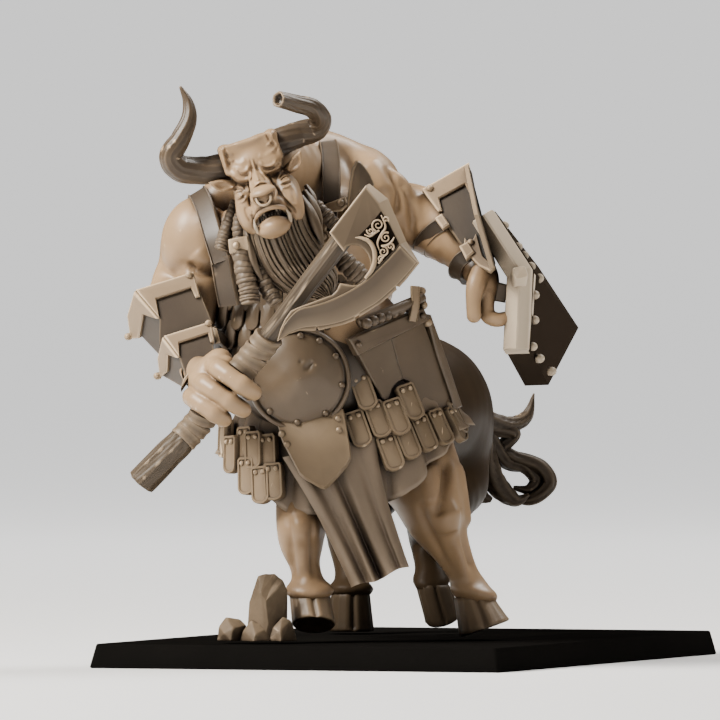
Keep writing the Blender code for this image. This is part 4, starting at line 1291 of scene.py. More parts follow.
    def _right_hand(self) -> None:
        """Fist round the haft: back of the hand, knuckles, three fingers in front and the thumb."""
        clay = Clay((-27.5, -35.6, 23.0), (-15.5, -24.0, 36.5), self.hand_step)
        clay.limb([(-24.4, -23.8, 31.8, 1.7), (-23.6, -26.8, 30.6, 1.9)], 0.8)
        clay.ball((-22.7, -28.4, 30.6), (1.9, 2.3, 3.0), 0.7, (0, 38, 0))
        clay.ball((-21.4, -28.6, 31.9), (1.5, 2.0, 1.7), 0.6)
        toward = np.array(VIEWER)
        for start, end, knuckle, tip in ((2.0, 2.5, -1.9, 2.75), (-0.5, 0.15, -2.05, 3.1),
                                         (-2.55, -2.15, -1.7, 2.1)):
            knots = []
            for side, out, radius in ((knuckle - 0.6, -0.6, 1.15), (knuckle, 1.0, 1.15),
                                      (knuckle * 0.35, 2.2, 1.1),
                                      (tip * 0.35, 2.55, 1.06), (tip * 0.75, 2.2, 1.04), (tip, 1.5, 0.95),
                                      (tip + 0.1, 0.6, 0.8)):
                share = (side - knuckle) / (tip - knuckle)
                along = start + (end - start) * share
                place = AXE.grip + AXE.line * along + AXE.side * side + toward * out
                knots.append((*place, radius))
            clay.limb(knots, 0.2, steps=2)
            for side, out in ((knuckle + 0.1, 1.35), (tip * 0.4, 2.75)):
                share = (side - knuckle) / (tip - knuckle)
                along = start + (end - start) * share
                joint = AXE.grip + AXE.line * along + AXE.side * side + toward * out
                clay.ball(joint, (1.1, 1.0, 1.1), 0.3)
            nail = AXE.grip + AXE.line * end + AXE.side * (tip - 0.25) + toward * 2.35
            clay.ball(nail, (0.62, 0.25, 0.5), 0.05, (0, 40, 0))
        thumb = AXE.grip + AXE.line * 2.6
        clay.limb([(*(thumb + AXE.side * -1.6 + AXE.face * -0.6), 1.2),
                   (*(thumb + AXE.side * 0.4 + AXE.face * -2.0), 1.05),
                   (*(thumb + AXE.side * 2.4 - AXE.line * 1.0 + AXE.face * -1.4), 0.85)], 0.3)
        batch = Batch()
        clay.skin(batch)
        batch.build("right_hand", SKIN)

    def _left_hand(self) -> None:
        """Hand on the shield's grip, the thumb hanging down in front."""
        clay = Clay((5.4, -21.2, 34.2), (13.4, -10.5, 45.5), self.hand_step)
        clay.limb([(8.0, -13.6, 43.4, 1.9), (8.7, -15.0, 41.8, 1.8)], 0.8)
        clay.ball((8.9, -16.0, 40.6), (1.75, 1.8, 2.3), 0.8, (0, -10, 0))
        clay.limb([(8.5, -17.2, 42.2, 1.15), (7.9, -18.2, 40.6, 1.12), (7.65, -18.6, 38.9, 0.9),
                   (7.7, -18.7, 37.2, 0.86)], 0.25)
        for shift in (0.0, 1.5, 3.0):
            clay.limb([(9.1, -17.0 + shift, 39.6, 1.0), (9.2, -17.4 + shift, 37.4, 0.92),
                       (10.3, -17.8 + shift, 36.7, 0.84), (11.4, -17.4 + shift, 36.9, 0.76)], 0.25)
        batch = Batch()
        clay.skin(batch)
        batch.build("left_hand", SKIN)


@dataclass
class Head:
    """Bull's head: skull between the horns, brows, snout, open mouth, chin, ears and tusks.

    Its own axes are across to the viewer's right, deep from the nose's plane, and up along the face.
    """

    nose: tuple[float, float, float] = (-16.48, -34.2, 51.43)
    roll: float = math.radians(17.0)
    step: float = 0.12
    folds: tuple = (
        (((-2.95, 3.5), (-2.5, 2.4), (-1.62, 1.95), (-0.84, 2.2), (-0.42, 3.0)), 0.26, 0.42),
        (((-2.75, 2.9), (-2.45, 1.95), (-1.6, 1.5), (-0.95, 1.7)), 0.15, -0.35),
        (((-2.41, 3.75), (-1.7, 2.98), (-1.0, 3.0), (-0.72, 3.5)), 0.2, 0.24),
        (((-2.1, 3.3), (-1.65, 2.6), (-1.0, 2.6)), 0.12, -0.2),
        (((-2.2, 4.3), (-1.4, 4.0), (-0.8, 4.3)), 0.3, 0.12),
        (((0.14, 3.0), (0.66, 2.22), (1.6, 2.02), (2.55, 2.3), (3.3, 2.85)), 0.26, 0.42),
        (((0.75, 1.75), (1.6, 1.55), (2.5, 1.8), (3.2, 2.3)), 0.15, -0.35),
        (((0.62, 3.6), (0.85, 3.0), (1.35, 2.7), (2.1, 2.76), (2.7, 3.3)), 0.2, 0.24),
        (((0.9, 2.65), (1.5, 2.4), (2.2, 2.5)), 0.12, -0.2),
        (((0.7, 4.3), (1.5, 4.0), (2.5, 4.4)), 0.3, 0.12),
        (((-0.3, 4.1), (-0.3, 3.4), (-0.5, 2.6), (-0.92, 1.5), (-1.05, 0.9)), 0.13, -0.3),
        (((0.06, 4.0), (0.05, 3.4), (0.25, 2.6), (0.62, 1.7), (0.85, 1.0)), 0.13, -0.3),
        (((-0.12, 4.0), (-0.15, 3.0), (-0.15, 2.0), (-0.08, 1.3)), 0.22, 0.34),
        (((-0.75, 0.98), (0.0, 1.25), (0.7, 1.02)), 0.11, 0.17),
        (((-1.0, 0.72), (0.0, 1.0), (0.95, 0.74)), 0.1, -0.16),
        (((-1.35, 1.9), (-1.5, 1.2), (-1.45, 0.5)), 0.2, 0.3),
        (((1.2, 1.9), (1.5, 1.2), (1.5, 0.5)), 0.2, 0.3),
        (((-1.6, 0.1), (-1.75, -0.7), (-1.75, -1.5), (-1.95, -2.3)), 0.13, -0.3),
        (((1.62, 0.1), (1.85, -0.8), (2.25, -1.8), (2.75, -2.7), (2.9, -3.4)), 0.13, -0.36),
        (((1.95, 0.0), (2.2, -0.9), (2.6, -1.8), (3.0, -2.6)), 0.22, 0.2),
        (((-3.4, 1.55), (-2.9, 1.62), (-2.3, 1.4), (-1.9, 0.95)), 0.12, 0.3),
        (((-3.35, 1.2), (-2.8, 1.25), (-2.25, 1.1), (-2.0, 0.8)), 0.07, -0.26),
        (((-3.3, 0.75), (-2.75, 0.86), (-2.15, 0.75)), 0.06, -0.3),
        (((-3.3, 0.35), (-2.8, 0.32), (-2.2, 0.5)), 0.1, 0.24),
        (((-3.25, 0.1), (-2.7, 0.02), (-2.1, 0.25)), 0.07, -0.24),
        (((-3.1, -0.25), (-2.6, -0.3), (-2.0, 0.0)), 0.13, 0.2),
        (((2.1, 1.05), (2.6, 1.75), (3.2, 1.8), (3.7, 1.5)), 0.12, 0.3),
        (((2.25, 0.95), (2.7, 1.42), (3.2, 1.45), (3.6, 1.2)), 0.07, -0.26),
        (((2.3, 0.75), (2.85, 1.0), (3.4, 0.95)), 0.06, -0.3),
        (((2.3, 0.5), (2.9, 0.5), (3.5, 0.6)), 0.1, 0.24),
        (((2.2, 0.25), (2.9, 0.18), (3.5, 0.35)), 0.07, -0.24),
        (((2.2, -0.05), (2.8, -0.15), (3.4, 0.05)), 0.13, 0.2),
        (((-2.4, -0.9), (-2.5, -1.8), (-2.3, -2.8)), 0.22, -0.16),
        (((3.3, -0.4), (3.2, -1.4), (3.0, -2.4)), 0.25, -0.14),
        (((2.75, 6.7), (2.9, 5.7), (3.2, 4.7), (3.3, 3.9)), 0.2, 0.3),
        (((2.3, 6.5), (2.45, 5.6), (2.8, 4.8), (3.0, 4.1)), 0.14, -0.22),
        (((2.0, 5.0), (2.5, 5.3), (3.0, 6.2)), 0.13, 0.16),
        (((2.2, 4.2), (2.7, 4.4), (3.2, 5.0)), 0.13, 0.16),
        (((-3.1, 6.5), (-3.15, 5.5), (-3.2, 4.6), (-3.15, 3.8)), 0.2, 0.3),
        (((-2.7, 6.4), (-2.75, 5.5), (-2.8, 4.7), (-2.7, 4.0)), 0.14, -0.22),
        (((-2.0, 5.2), (-2.6, 5.6), (-3.1, 6.3)), 0.13, 0.16),
        (((-2.1, 4.5), (-2.7, 4.7), (-3.1, 5.2)), 0.13, 0.16),
        (((-1.6, 6.2), (0.0, 6.0), (1.8, 6.3)), 0.35, 0.12))

    def place(self, points: np.ndarray) -> np.ndarray:
        """Roll the head's own places about its nose into the figure's axes.

        Args:
            points: Places in the head's own axes.

        Returns:
            The same places in the figure's.
        """
        points = np.atleast_2d(np.asarray(points, dtype=float))
        cos, sin = math.cos(self.roll), math.sin(self.roll)
        across, deep, up = points[:, 0], points[:, 1], points[:, 2]
        turned = np.stack([across * cos - up * sin, deep, across * sin + up * cos], axis=1)
        return turned + np.array(self.nose)

    def build(self) -> None:
        """Build the flesh of the head, the eyes, the teeth and the ring in the nose."""
        clay = Clay((-7.0, -1.6, -7.4), (7.2, 12.8, 8.4), self.step)
        self._skull(clay)
        self._snout(clay)
        self._mouth(clay)
        self._ears(clay)
        batch = Batch()
        clay.skin(batch)
        points = batch.points[0]
        front = np.clip((7.6 - points[:, 1]) / 1.5, 0, 1) * (np.abs(points[:, 0]) < 3.9)
        points[:, 1] -= strokes(points[:, 0], points[:, 2], self.folds) * front
        batch.points[0] = self.place(points)
        batch.build("head", SKIN)
        self._teeth()
        self._ring()

    def _skull(self, clay: Clay) -> None:
        """Squared skull between the horns, forehead, eye bulges, cheeks and the sides of the jaw.

        Args:
            clay: What it is added to.
        """
        clay.block((-0.1, 8.2, 4.75), (3.45, 3.7, 1.72), 0.35, 0.3, (0, -1.5, 0))
        clay.ball((2.75, 6.4, 6.1), (0.75, 2.0, 0.7), 0.3)
        clay.ball((-2.9, 6.4, 6.0), (0.7, 2.0, 0.6), 0.3)
        clay.ball((0.0, 7.0, 3.5), (3.3, 3.2, 2.5), 0.5)
        clay.ball((-1.5, 5.1, 2.95), (1.45, 1.35, 1.3), 0.35)
        clay.ball((1.6, 5.1, 3.05), (1.5, 1.35, 1.3), 0.35)
        clay.ball((0.1, 7.0, 0.7), (3.35, 2.9, 2.6), 0.5)
        clay.ball((0.05, 6.9, -1.7), (2.85, 2.9, 2.4), 0.5)
        clay.ball((3.0, 7.0, -1.2), (1.15, 1.8, 2.3), 0.5, (0, 8, 0))
        clay.ball((-2.55, 6.9, -1.3), (0.85, 1.7, 2.3), 0.5, (0, -4, 0))
        clay.ball((-2.45, 4.9, 0.75), (0.62, 0.55, 0.5), 0.3)
        clay.ball((2.6, 4.9, 0.85), (0.62, 0.55, 0.5), 0.3)
        clay.ball((-2.1, 5.3, -0.9), (1.25, 1.7, 1.9), 0.8)
        clay.ball((-2.3, 5.5, -2.3), (1.25, 2.2, 2.0), 0.8)
        clay.ball((2.4, 5.2, -0.9), (1.4, 1.8, 2.1), 0.8)
        clay.ball((2.75, 5.0, -2.3), (1.35, 2.3, 2.2), 0.8)
        clay.limb([(-2.3, 6.2, -3.0, 0.8), (-1.7, 4.6, -3.9, 0.75), (0.0, 3.8, -4.2, 0.9),
                   (1.5, 4.6, -3.7, 0.75), (2.2, 6.2, -2.7, 0.8)], 0.4)

    def _snout(self, clay: Clay) -> None:
        """Snout from between the brows to the wide nose pad, hollow nostrils, and the upper lip's mound.

        Args:
            clay: What it is added to.
        """
        clay.limb([(0.0, 5.2, 2.4, 0.8), (-0.12, 4.0, 1.6, 1.05), (-0.05, 3.2, 0.7, 1.3),
                   (0.0, 2.9, -0.3, 1.4)], 0.45)
        clay.ball((0.1, 3.4, -1.4), (1.85, 1.75, 1.05), 0.4)
        clay.ball((-1.2, 3.2, -1.7), (0.8, 1.2, 0.8), 0.3)
        clay.ball((1.45, 3.3, -1.8), (0.85, 1.2, 0.95), 0.3)
        clay.ball((0.0, 1.75, -0.55), (1.2, 0.85, 0.9), 0.25)
        clay.ball((0.0, 1.35, 0.22), (1.5, 1.05, 0.5), 0.12, (24, -3, 0))
        for side in (-1, 1):
            clay.limb([(side * 1.38, 1.35, 0.1, 0.2), (side * 1.42, 1.0, -0.5, 0.22),
                       (side * 1.05, 0.85, -1.1, 0.16)], 0.12)
            clay.limb([(side * 0.36, 0.75, -1.05, 0.26), (side * 0.72, 1.0, -0.8, 0.2)], 0.06, carve=True)
            clay.limb([(side * 0.38, 1.3, -1.0, 0.24), (side * 0.7, 1.5, -0.75, 0.18)], 0.06, carve=True)

    def _mouth(self, clay: Clay) -> None:
        """Open mouth with rolled lips over the round chin, which runs to a corner at each tusk.

        Args:
            clay: What it is added to.
        """
        clay.ball((0.12, 2.75, -4.15), (1.95, 1.8, 1.25), 0.3, (0, -4, 0))
        clay.limb([(-1.75, 3.3, -4.2, 0.35), (-1.2, 2.3, -3.6, 0.34), (-0.4, 1.7, -3.12, 0.36),
                   (0.5, 1.7, -3.1, 0.36), (1.3, 2.3, -3.6, 0.36), (1.95, 3.0, -4.0, 0.3)], 0.22)
        clay.ball((-0.05, 2.35, -4.0), (1.45, 1.0, 0.95), 0.3)
        for deep, wide in ((1.7, 0.36), (2.5, 0.42), (3.4, 0.42)):
            clay.limb([(-1.3, deep + 0.7, -3.05, wide * 0.7), (-0.6, deep, -2.62, wide),
                       (0.3, deep - 0.1, -2.5, wide),
                       (1.0, deep + 0.2, -2.6, wide), (1.5, deep + 0.8, -3.1, wide * 0.7)], 0.06, carve=True)
        clay.limb([(-1.75, 2.8, -3.0, 0.24), (-1.5, 2.0, -2.45, 0.26), (-0.75, 1.35, -2.0, 0.28),
                   (0.2, 1.15, -1.9, 0.28),
                   (1.1, 1.35, -2.0, 0.3), (1.75, 2.1, -2.4, 0.3), (2.15, 2.8, -3.3, 0.27)], 0.12)

    def _ears(self, clay: Clay) -> None:
        """Leaf-shaped ears that point outward, hollowed towards the viewer.

        Args:
            clay: What they are added to.
        """
        for knots, hollow in (
                ([(-3.1, 6.1, 1.8, 0.6), (-4.3, 5.6, 2.15, 0.72), (-5.1, 5.3, 2.6, 0.38),
                  (-5.7, 5.1, 2.95, 0.06)],
                 [(-3.5, 5.1, 1.85, 0.3), (-4.3, 4.9, 2.1, 0.5), (-5.0, 4.85, 2.5, 0.2)]),
                ([(3.5, 6.1, 1.7, 0.6), (4.5, 5.6, 2.1, 0.74), (5.1, 5.3, 2.8, 0.42),
                  (5.55, 5.1, 3.4, 0.06)],
                 [(3.9, 5.1, 1.75, 0.3), (4.6, 4.9, 2.2, 0.5), (5.05, 4.85, 2.8, 0.2)])):
            clay.limb(knots, 0.25)
            clay.limb(hollow, 0.1, carve=True)

    def _teeth(self) -> None:
        """Two tusks from the corners of the lower jaw and rows of small teeth."""
        batch = Batch()
        tusks = ([(-1.8, 2.5, -4.0, 0.27), (-1.95, 1.95, -3.4, 0.22), (-1.88, 1.8, -2.6, 0.04)],
                 [(2.0, 2.4, -4.0, 0.27), (2.12, 1.95, -3.35, 0.24), (1.95, 1.8, -2.6, 0.04)])
        teeth = [[(x, 2.2 + 0.25 * abs(x), -3.0 - 0.12 * abs(x), 0.15),
                  (x, 2.0 + 0.25 * abs(x), -2.65, 0.06)]
                 for x in (-0.8, -0.45, -0.1, 0.25, 0.6, 0.95)]
        teeth += [[(x, 1.75 + 0.25 * abs(x), -2.15, 0.17), (x, 1.7 + 0.25 * abs(x), -2.5, 0.07)]
                  for x in (-1.0, -0.65, 0.9, 1.25)]
        for knots in list(tusks) + teeth:
            places = self.place([k[:3] for k in knots])
            swept(batch, [(*p, k[3]) for p, k in zip(places, knots)], 9, 12)
        batch.build("teeth_and_tusks", BONE)

    def _ring(self) -> None:
        """Thick ring through the nose."""
        batch = Batch()
        angle = 2 * math.pi * np.arange(48) / 48
        middle = np.column_stack([-0.12 + 0.82 * np.cos(angle), 0.72 + 0.6 * np.sin(angle),
                                  -0.62 + 0.8 * np.sin(angle)])
        ring_out = np.column_stack([np.cos(angle), np.zeros(48), np.sin(angle)])
        turn = 2 * math.pi * np.arange(12) / 12
        away = np.array([0.0, 0.15, 0.0])
        rings = np.array([middle + ring_out * 0.15 * math.cos(t) + away * math.sin(t) for t in turn])
        rings = np.moveaxis(rings, 0, 1)
        points = self.place(rings.reshape(-1, 3))
        after = (np.arange(48) + 1) % 48
        faces = [(a * 12 + k, after[a] * 12 + k, after[a] * 12 + (k + 1) % 12, a * 12 + (k + 1) % 12)
                 for a in range(48) for k in range(12)]
        batch.add(points, np.array(faces))
        batch.build("nose_ring", TRIM)


@dataclass
class Horns:
    """Two curling horns, grooved lengthwise; the viewer's right one is cut off blunt."""

    left: Knots = ((-19.4, -26.2, 54.8, 1.6), (-21.6, -27.0, 54.15, 1.62), (-23.8, -27.2, 53.9, 1.58),
                   (-26.0, -28.0, 54.2, 1.5), (-27.0, -28.8, 55.6, 1.35), (-25.9, -28.8, 57.6, 1.15),
                   (-25.0, -28.4, 59.8, 0.9), (-25.1, -28.0, 61.7, 0.6), (-26.0, -28.0, 63.6, 0.15))
    right: Knots = ((-15.6, -26.0, 56.8, 1.55), (-14.0, -25.6, 57.5, 1.58), (-12.2, -25.0, 58.2, 1.48),
                    (-10.5, -25.0, 58.7, 1.35), (-9.9, -26.2, 59.9, 1.2), (-10.9, -28.0, 61.1, 1.1),
                    (-12.8, -30.0, 61.6, 1.0), (-14.7, -31.9, 62.1, 0.92))

    def build(self) -> None:
        """Sweep each horn with its grooves, and hollow the cut end of the right one."""
        batch = Batch()

        def groove(share: np.ndarray, angle: np.ndarray) -> np.ndarray:
            """Long grooves that twist a little, and growth rings near the root.

            Args:
                share: Share of the way along.
                angle: Angle round the horn.

            Returns:
                Factor of the radius.
            """
            twist = angle + 1.6 * share
            return (1 + 0.035 * np.sin(5 * twist) + 0.022 * np.sin(13 * twist + 3 * share)
                    + 0.012 * np.sin(29 * twist) + 0.012 * np.sin(60 * share) * (1 - share))
        swept(batch, self.left, 130, 60, relief=groove)
        path = curve(self.right, 120)
        share = np.linspace(0, 1, 120)[:, None]
        angle = (2 * math.pi * np.arange(60) / 60)[None]
        rings = tube(path, 60, groove(share, angle))
        last, middle = rings[-1], rings[-1].mean(axis=0)
        line = unit((path[-1, :3] - path[-3, :3])[None])[0]
        cut = [middle + (last - middle) * 0.97 + line * 0.12, middle + (last - middle) * 0.8 + line * 0.14,
               middle + (last - middle) * 0.62 - line * 0.1, middle + (last - middle) * 0.5 - line * 0.5]
        batch.grid(np.concatenate([rings, np.array(cut)]))
        batch.build("horns", HORN)


@dataclass
class Beard:
    """Broad beard that sweeps down to the viewer's right, ringlets beside it and the clamp round one."""

    strands: int = 13
    left: Knots = ((-18.3, 48.4), (-17.8, 45.6), (-16.7, 42.6), (-14.7, 40.3), (-11.7, 39.1), (-9.2, 39.2))
    right: Knots = ((-12.0, 50.3), (-11.0, 47.4), (-9.6, 45.1), (-8.5, 43.2), (-7.9, 41.6), (-8.5, 39.8))

    def build(self) -> None:
        """Build the beard, its loose locks, the ringlets and the clamp."""
        self._sheet()
        self._locks()
        self._ringlets()
        self._clamp()

    def _sheet(self) -> None:
        """Body of hair between its two edges.

        A point's place is the share of the way from the left edge to the right one, at one share of
        the way down. It swells to the viewer across its middle, each strand adds a rounded rib whose
        width varies, and finer hairs ride on the ribs. The back is the front's edge drawn back.
        """
        batch = Batch()
        across = np.linspace(0, 1, 300)[None]
        down = np.linspace(0, 1, 110)[:, None]
        left, right = (curve(edge, 110) for edge in (self.left, self.right))
        drift = across + 0.018 * np.sin(9 * across + 2.5 * down) + 0.014 * np.sin(23 * across + 1.0)
        rib = np.abs(np.sin(math.pi * self.strands * drift)) ** 0.38
        finer = 2 * self.strands * drift + 0.8 * np.sin(3 * down + 11 * across)
        half = np.abs(np.sin(math.pi * finer)) ** 0.5
        ends = np.sin(math.pi * np.clip(across, 0.004, 0.996)) ** 0.45
        swell = 2.9 * ends * (1 - 0.25 * down) - 1.2 * down * (1 - down)
        hair = 0.030 * np.sin(150 * drift + 4 * np.sin(6 * down))
        front = -27.3 - swell - 0.46 * rib - 0.05 * half * rib - hair - 0.4 * down - 1.1 * (1 - down) ** 3
        share = across * np.ones_like(down)
        place = np.stack([left[:, :1] * (1 - share) + right[:, :1] * share, front,
                          left[:, 1:] * (1 - share) + right[:, 1:] * share], axis=-1)
        tip = 0.35 * np.sin(math.pi * self.strands * drift) ** 2 * np.clip(down - 0.85, 0, 1) / 0.15
        place[..., 2] -= tip
        back = place[:, ::-1].copy()
        back[..., 1] = np.maximum(back[..., 1] + 2.4, -26.8)
        batch.grid(np.concatenate([place, back], axis=1), poles=False)
        batch.build("beard", HAIR)

    def _locks(self) -> None:
        """Loose locks at the beard's two sides."""
        tufts = Batch()

        def hairs(share: np.ndarray, angle: np.ndarray) -> np.ndarray:
            """Grooves along a lock."""
            return 1 + 0.12 * np.sin(4 * angle + 5 * share) + 0.05 * np.sin(9 * angle)
        for knots in (
                [(-12.2, -27.6, 51.0, 0.35), (-11.2, -28.4, 49.2, 0.6), (-10.3, -28.6, 47.2, 0.6),
                 (-9.6, -28.8, 45.4, 0.15)],
                [(-11.8, -26.6, 51.6, 0.3), (-10.9, -27.4, 50.2, 0.5), (-10.2, -27.8, 48.6, 0.5),
                 (-9.8, -28.0, 47.2, 0.12)],
                [(-11.6, -25.6, 52.2, 0.25), (-10.9, -26.4, 51.0, 0.4), (-10.6, -26.8, 49.8, 0.35),
                 (-10.4, -27.0, 48.8, 0.1)],
                [(-18.6, -27.6, 48.6, 0.3), (-18.2, -28.6, 46.0, 0.5), (-17.6, -28.9, 43.4, 0.5),
                 (-16.6, -29.0, 41.4, 0.15)],
                [(-18.8, -26.8, 49.4, 0.3), (-18.7, -27.6, 47.0, 0.45), (-18.3, -28.0, 44.6, 0.4),
                 (-17.4, -28.2, 42.6, 0.12)]):
            swept(tufts, knots, 40, 16, relief=hairs)
        tufts.build("beard_locks", HAIR)

    def _ringlets(self) -> None:
        """Braids wound round with cord from top to bottom, the lower ones open at the end."""
        batch = Batch()
        for knots, turns, hollow in (
                ([(-19.7, -25.4, 50.4, 0.5), (-20.3, -26.0, 48.4, 0.72), (-20.9, -26.5, 46.4, 0.85),
                  (-21.3, -26.8, 44.9, 0.8)],
                 12, False),
                ([(-19.0, -27.2, 49.8, 0.45), (-19.3, -27.6, 48.0, 0.7), (-19.2, -28.0, 45.6, 0.8)], 8,
                 False),
                ([(-19.1, -28.4, 44.8, 1.0), (-18.6, -29.0, 42.2, 1.08), (-18.15, -29.3, 40.4, 1.12),
                  (-17.95, -29.4, 39.0, 1.16)],
                 11, True),
                ([(-17.3, -27.4, 44.2, 0.7), (-16.9, -27.9, 42.4, 0.95), (-16.1, -28.2, 40.6, 1.0),
                  (-15.1, -28.4, 39.0, 0.9)],
                 9, True),
                ([(-10.5, -23.6, 50.2, 0.6), (-9.6, -23.8, 49.0, 0.85), (-8.5, -23.9, 47.9, 0.8),
                  (-7.9, -23.9, 47.2, 0.4)],
                 7, False),
                ([(-8.2, -25.0, 44.6, 0.9), (-7.0, -25.2, 43.3, 1.15), (-5.6, -25.2, 42.0, 1.2),
                  (-4.6, -25.0, 41.0, 0.8)],
                 9, False)):
            path = curve(knots, 130)
            share = np.linspace(0, 1, 130)[:, None]
            angle = (2 * math.pi * np.arange(30) / 30)[None]
            phase = turns * share + 0.28 * np.sin(angle + 0.6) + 0.12 * np.sin(2 * angle + 4 * share)
            wound = np.abs(np.sin(math.pi * phase))
            uneven = 1 + 0.06 * np.sin(2.7 * turns * share)
            relief = (0.86 + 0.17 * wound ** 0.45) * uneven + 0.02 * np.sin(9 * angle + 40 * share)
            rings = tube(path, 30, relief)
            if hollow:
                last, middle = rings[-1], rings[-1].mean(axis=0)
                line = unit((path[-1, :3] - path[-3, :3])[None])[0]
                shape = ((1.04, 0.1), (0.96, 0.3), (0.8, 0.22), (0.72, -0.3), (0.6, -1.3))
                rings = np.concatenate([rings, [middle + (last - middle) * s + line * d for s, d in shape]])
            batch.grid(rings)
        batch.build("ringlets", HAIR)

    def _clamp(self) -> None:
        """Metal band that holds two ringlets together, with a rivet."""
        batch = Batch()
        angle = 2 * math.pi * np.arange(40) / 40
        corner = 1.0 / np.maximum(np.abs(np.cos(angle)), np.abs(np.sin(angle))) ** 0.75
        rings = []
        for up, reach in ((-0.82, 0.8), (-0.82, 1.0), (-0.7, 1.06), (0.7, 1.06), (0.82, 1.0), (0.82, 0.8)):
            rings.append(np.column_stack([-19.3 + 1.08 * reach * corner * np.cos(angle) - 0.12 * up,
                                          -28.0 + 1.3 * reach * corner * np.sin(angle),
                                          45.45 + up + 0.16 * 1.3 * corner * np.cos(angle)]))
        batch.grid(np.array(rings))
        studs(batch, [(-19.55, -29.4, 45.4)], (0, -1, 0), 0.42)
        batch.build("ringlet_clamp", TRIM, Surface.CREASED)


@dataclass
class Harness:
    """Shoulder straps with riveted loops, belly scales, and beads on the belt."""

    scale_rows: int = 5
    scale_columns: int = 9

    def build(self) -> None:
        """Build the straps, their metal loops, the scales and the belt's beads."""
        self._straps()
        self._scales()
        self._beads()

    def _straps(self) -> None:
        """One strap over each shoulder."""
        batch = Batch()
        ribbon(batch, [(-24.2, -12.6, 50.9), (-24.0, -15.6, 51.2), (-23.2, -18.6, 49.6),
                       (-22.3, -21.4, 46.6), (-21.3, -22.6, 43.4)],
               2.2, 0.45, [(-0.6, 0.3, 1), (-0.6, -0.4, 1), (-0.5, -1, 0.7), (-0.3, -1, 0.3), (-0.2, -1, 0)])
        ribbon(batch, [(-9.8, -9.5, 56.8), (-9.3, -12.5, 57.2), (-8.9, -16.2, 56.2), (-8.7, -19.6, 53.6),
                       (-8.7, -21.2, 50.2)],
               2.15, 0.45, [(0, 0.4, 1), (0.1, -0.2, 1), (0.1, -0.9, 1), (0, -1, 0.5), (0, -1, 0.2)])
        ribbon(batch, [(-8.9, -20.8, 50.0), (-9.0, -21.2, 48.0), (-9.2, -21.4, 45.8)], 2.0, 0.4,
               [(0, -1, 0.2), (0, -1, 0), (0, -1, 0)])
        ribbon(batch, [(-21.4, -22.4, 44.0), (-20.9, -22.6, 41.0), (-20.4, -22.2, 38.4)], 2.5, 0.4,
               [(-0.5, -1, 0.1), (-0.5, -1, 0), (-0.5, -1, 0)], 14)
        batch.build("shoulder_straps", DARK_PLATE, Surface.CREASED)
        metal = Batch()
        lay = faced((-10.8, -21.4, 50.0), (-7.4, -22.2, 50.6), (-8.6, -22.4, 45.6))
        slab(metal, [(-10.5, 50.6), (-9.6, 50.0), (-7.2, 50.9), (-6.9, 50.0), (-7.6, 49.3), (-9.9, 49.0),
                     (-10.6, 49.6)], lay, 0.7)
        slab(metal, [(-10.4, 47.4), (-9.2, 47.0), (-8.6, 45.9), (-9.5, 45.4), (-10.5, 46.2)], lay, 0.7)
        slab(metal, [(-9.6, 49.2), (-8.9, 48.7), (-9.5, 46.6), (-10.2, 46.9)], lay, 0.5)
        studs(metal, lay(np.array([[-7.6, 50.2, 0], [-9.6, 46.3, 0]])), (0, -1, 0), 0.42)
        metal.build("strap_loops", TRIM, Surface.CREASED)

    def _scales(self) -> None:
        """Overlapping scales in rows; each hangs from under the row above and stands out at its foot."""
        batch = Batch()
        turn = np.radians(np.linspace(-90, 90, 13))
        outline = [(-0.82, 1.6), *zip(0.85 * np.sin(turn), -0.8 - 0.95 * np.cos(turn)), (0.82, 1.6)]
        for row in range(self.scale_rows):
            for column in range(self.scale_columns):
                across = -21.3 + 1.75 * column + 0.87 * (row % 2)
                up = 41.6 - 2.15 * row
                ring = math.sqrt(max(0.2, 1 - ((up - 35.6) / 9.9) ** 2))
                share = (across + 13.3) / (9.6 * ring)
                if abs(share) > 0.97:
                    continue
                front = math.sqrt(1 - share ** 2)
                out = np.array([share, -front, 0.0])
                side = np.array([front, share, 0.0])
                hang = unit((np.array([0, 0, -1.0]) + out * 0.2)[None])[0]
                lay = plane((across, -15.5 - 7.1 * ring * front - 0.35, up), side, -hang)
                plate(batch, outline, lay, 0.5, 0.1, dome=0.22, spacing=0.35, rings=5)
        batch.build("belly_scales", PLATE)

    def _beads(self) -> None:
        """Cord of beads above the hip plate."""
        batch = Batch()
        for k in range(9):
            share = k / 8
            place = (-4.6 + 6.2 * share, -24.6 + 5.6 * share + 2.0 * share ** 2, 36.4 + 2.4 * share)
            studs(batch, [place], (0.3, -1, 0.1), 0.62)
        swept(batch, [(-5.6, -23.4, 36.4, 0.55), (-1.6, -21.6, 37.9, 0.6), (1.8, -18.0, 39.3, 0.55)], 20, 12)
        batch.build("belt_beads", DARK_PLATE)
        fittings = Batch()
        studs(fittings, [(1.9, -17.6, 38.4), (2.4, -17.2, 36.4), (1.7, -17.0, 40.0)], (0.8, -1, 0), 0.5)
        ribbon(fittings, [(0.6, -19.6, 36.6), (0.9, -19.8, 38.4), (0.9, -19.4, 40.6)], 1.0, 0.35,
               [(0.4, -1, 0)] * 3, 12)
        fittings.build("belt_fittings", TRIM, Surface.CREASED)


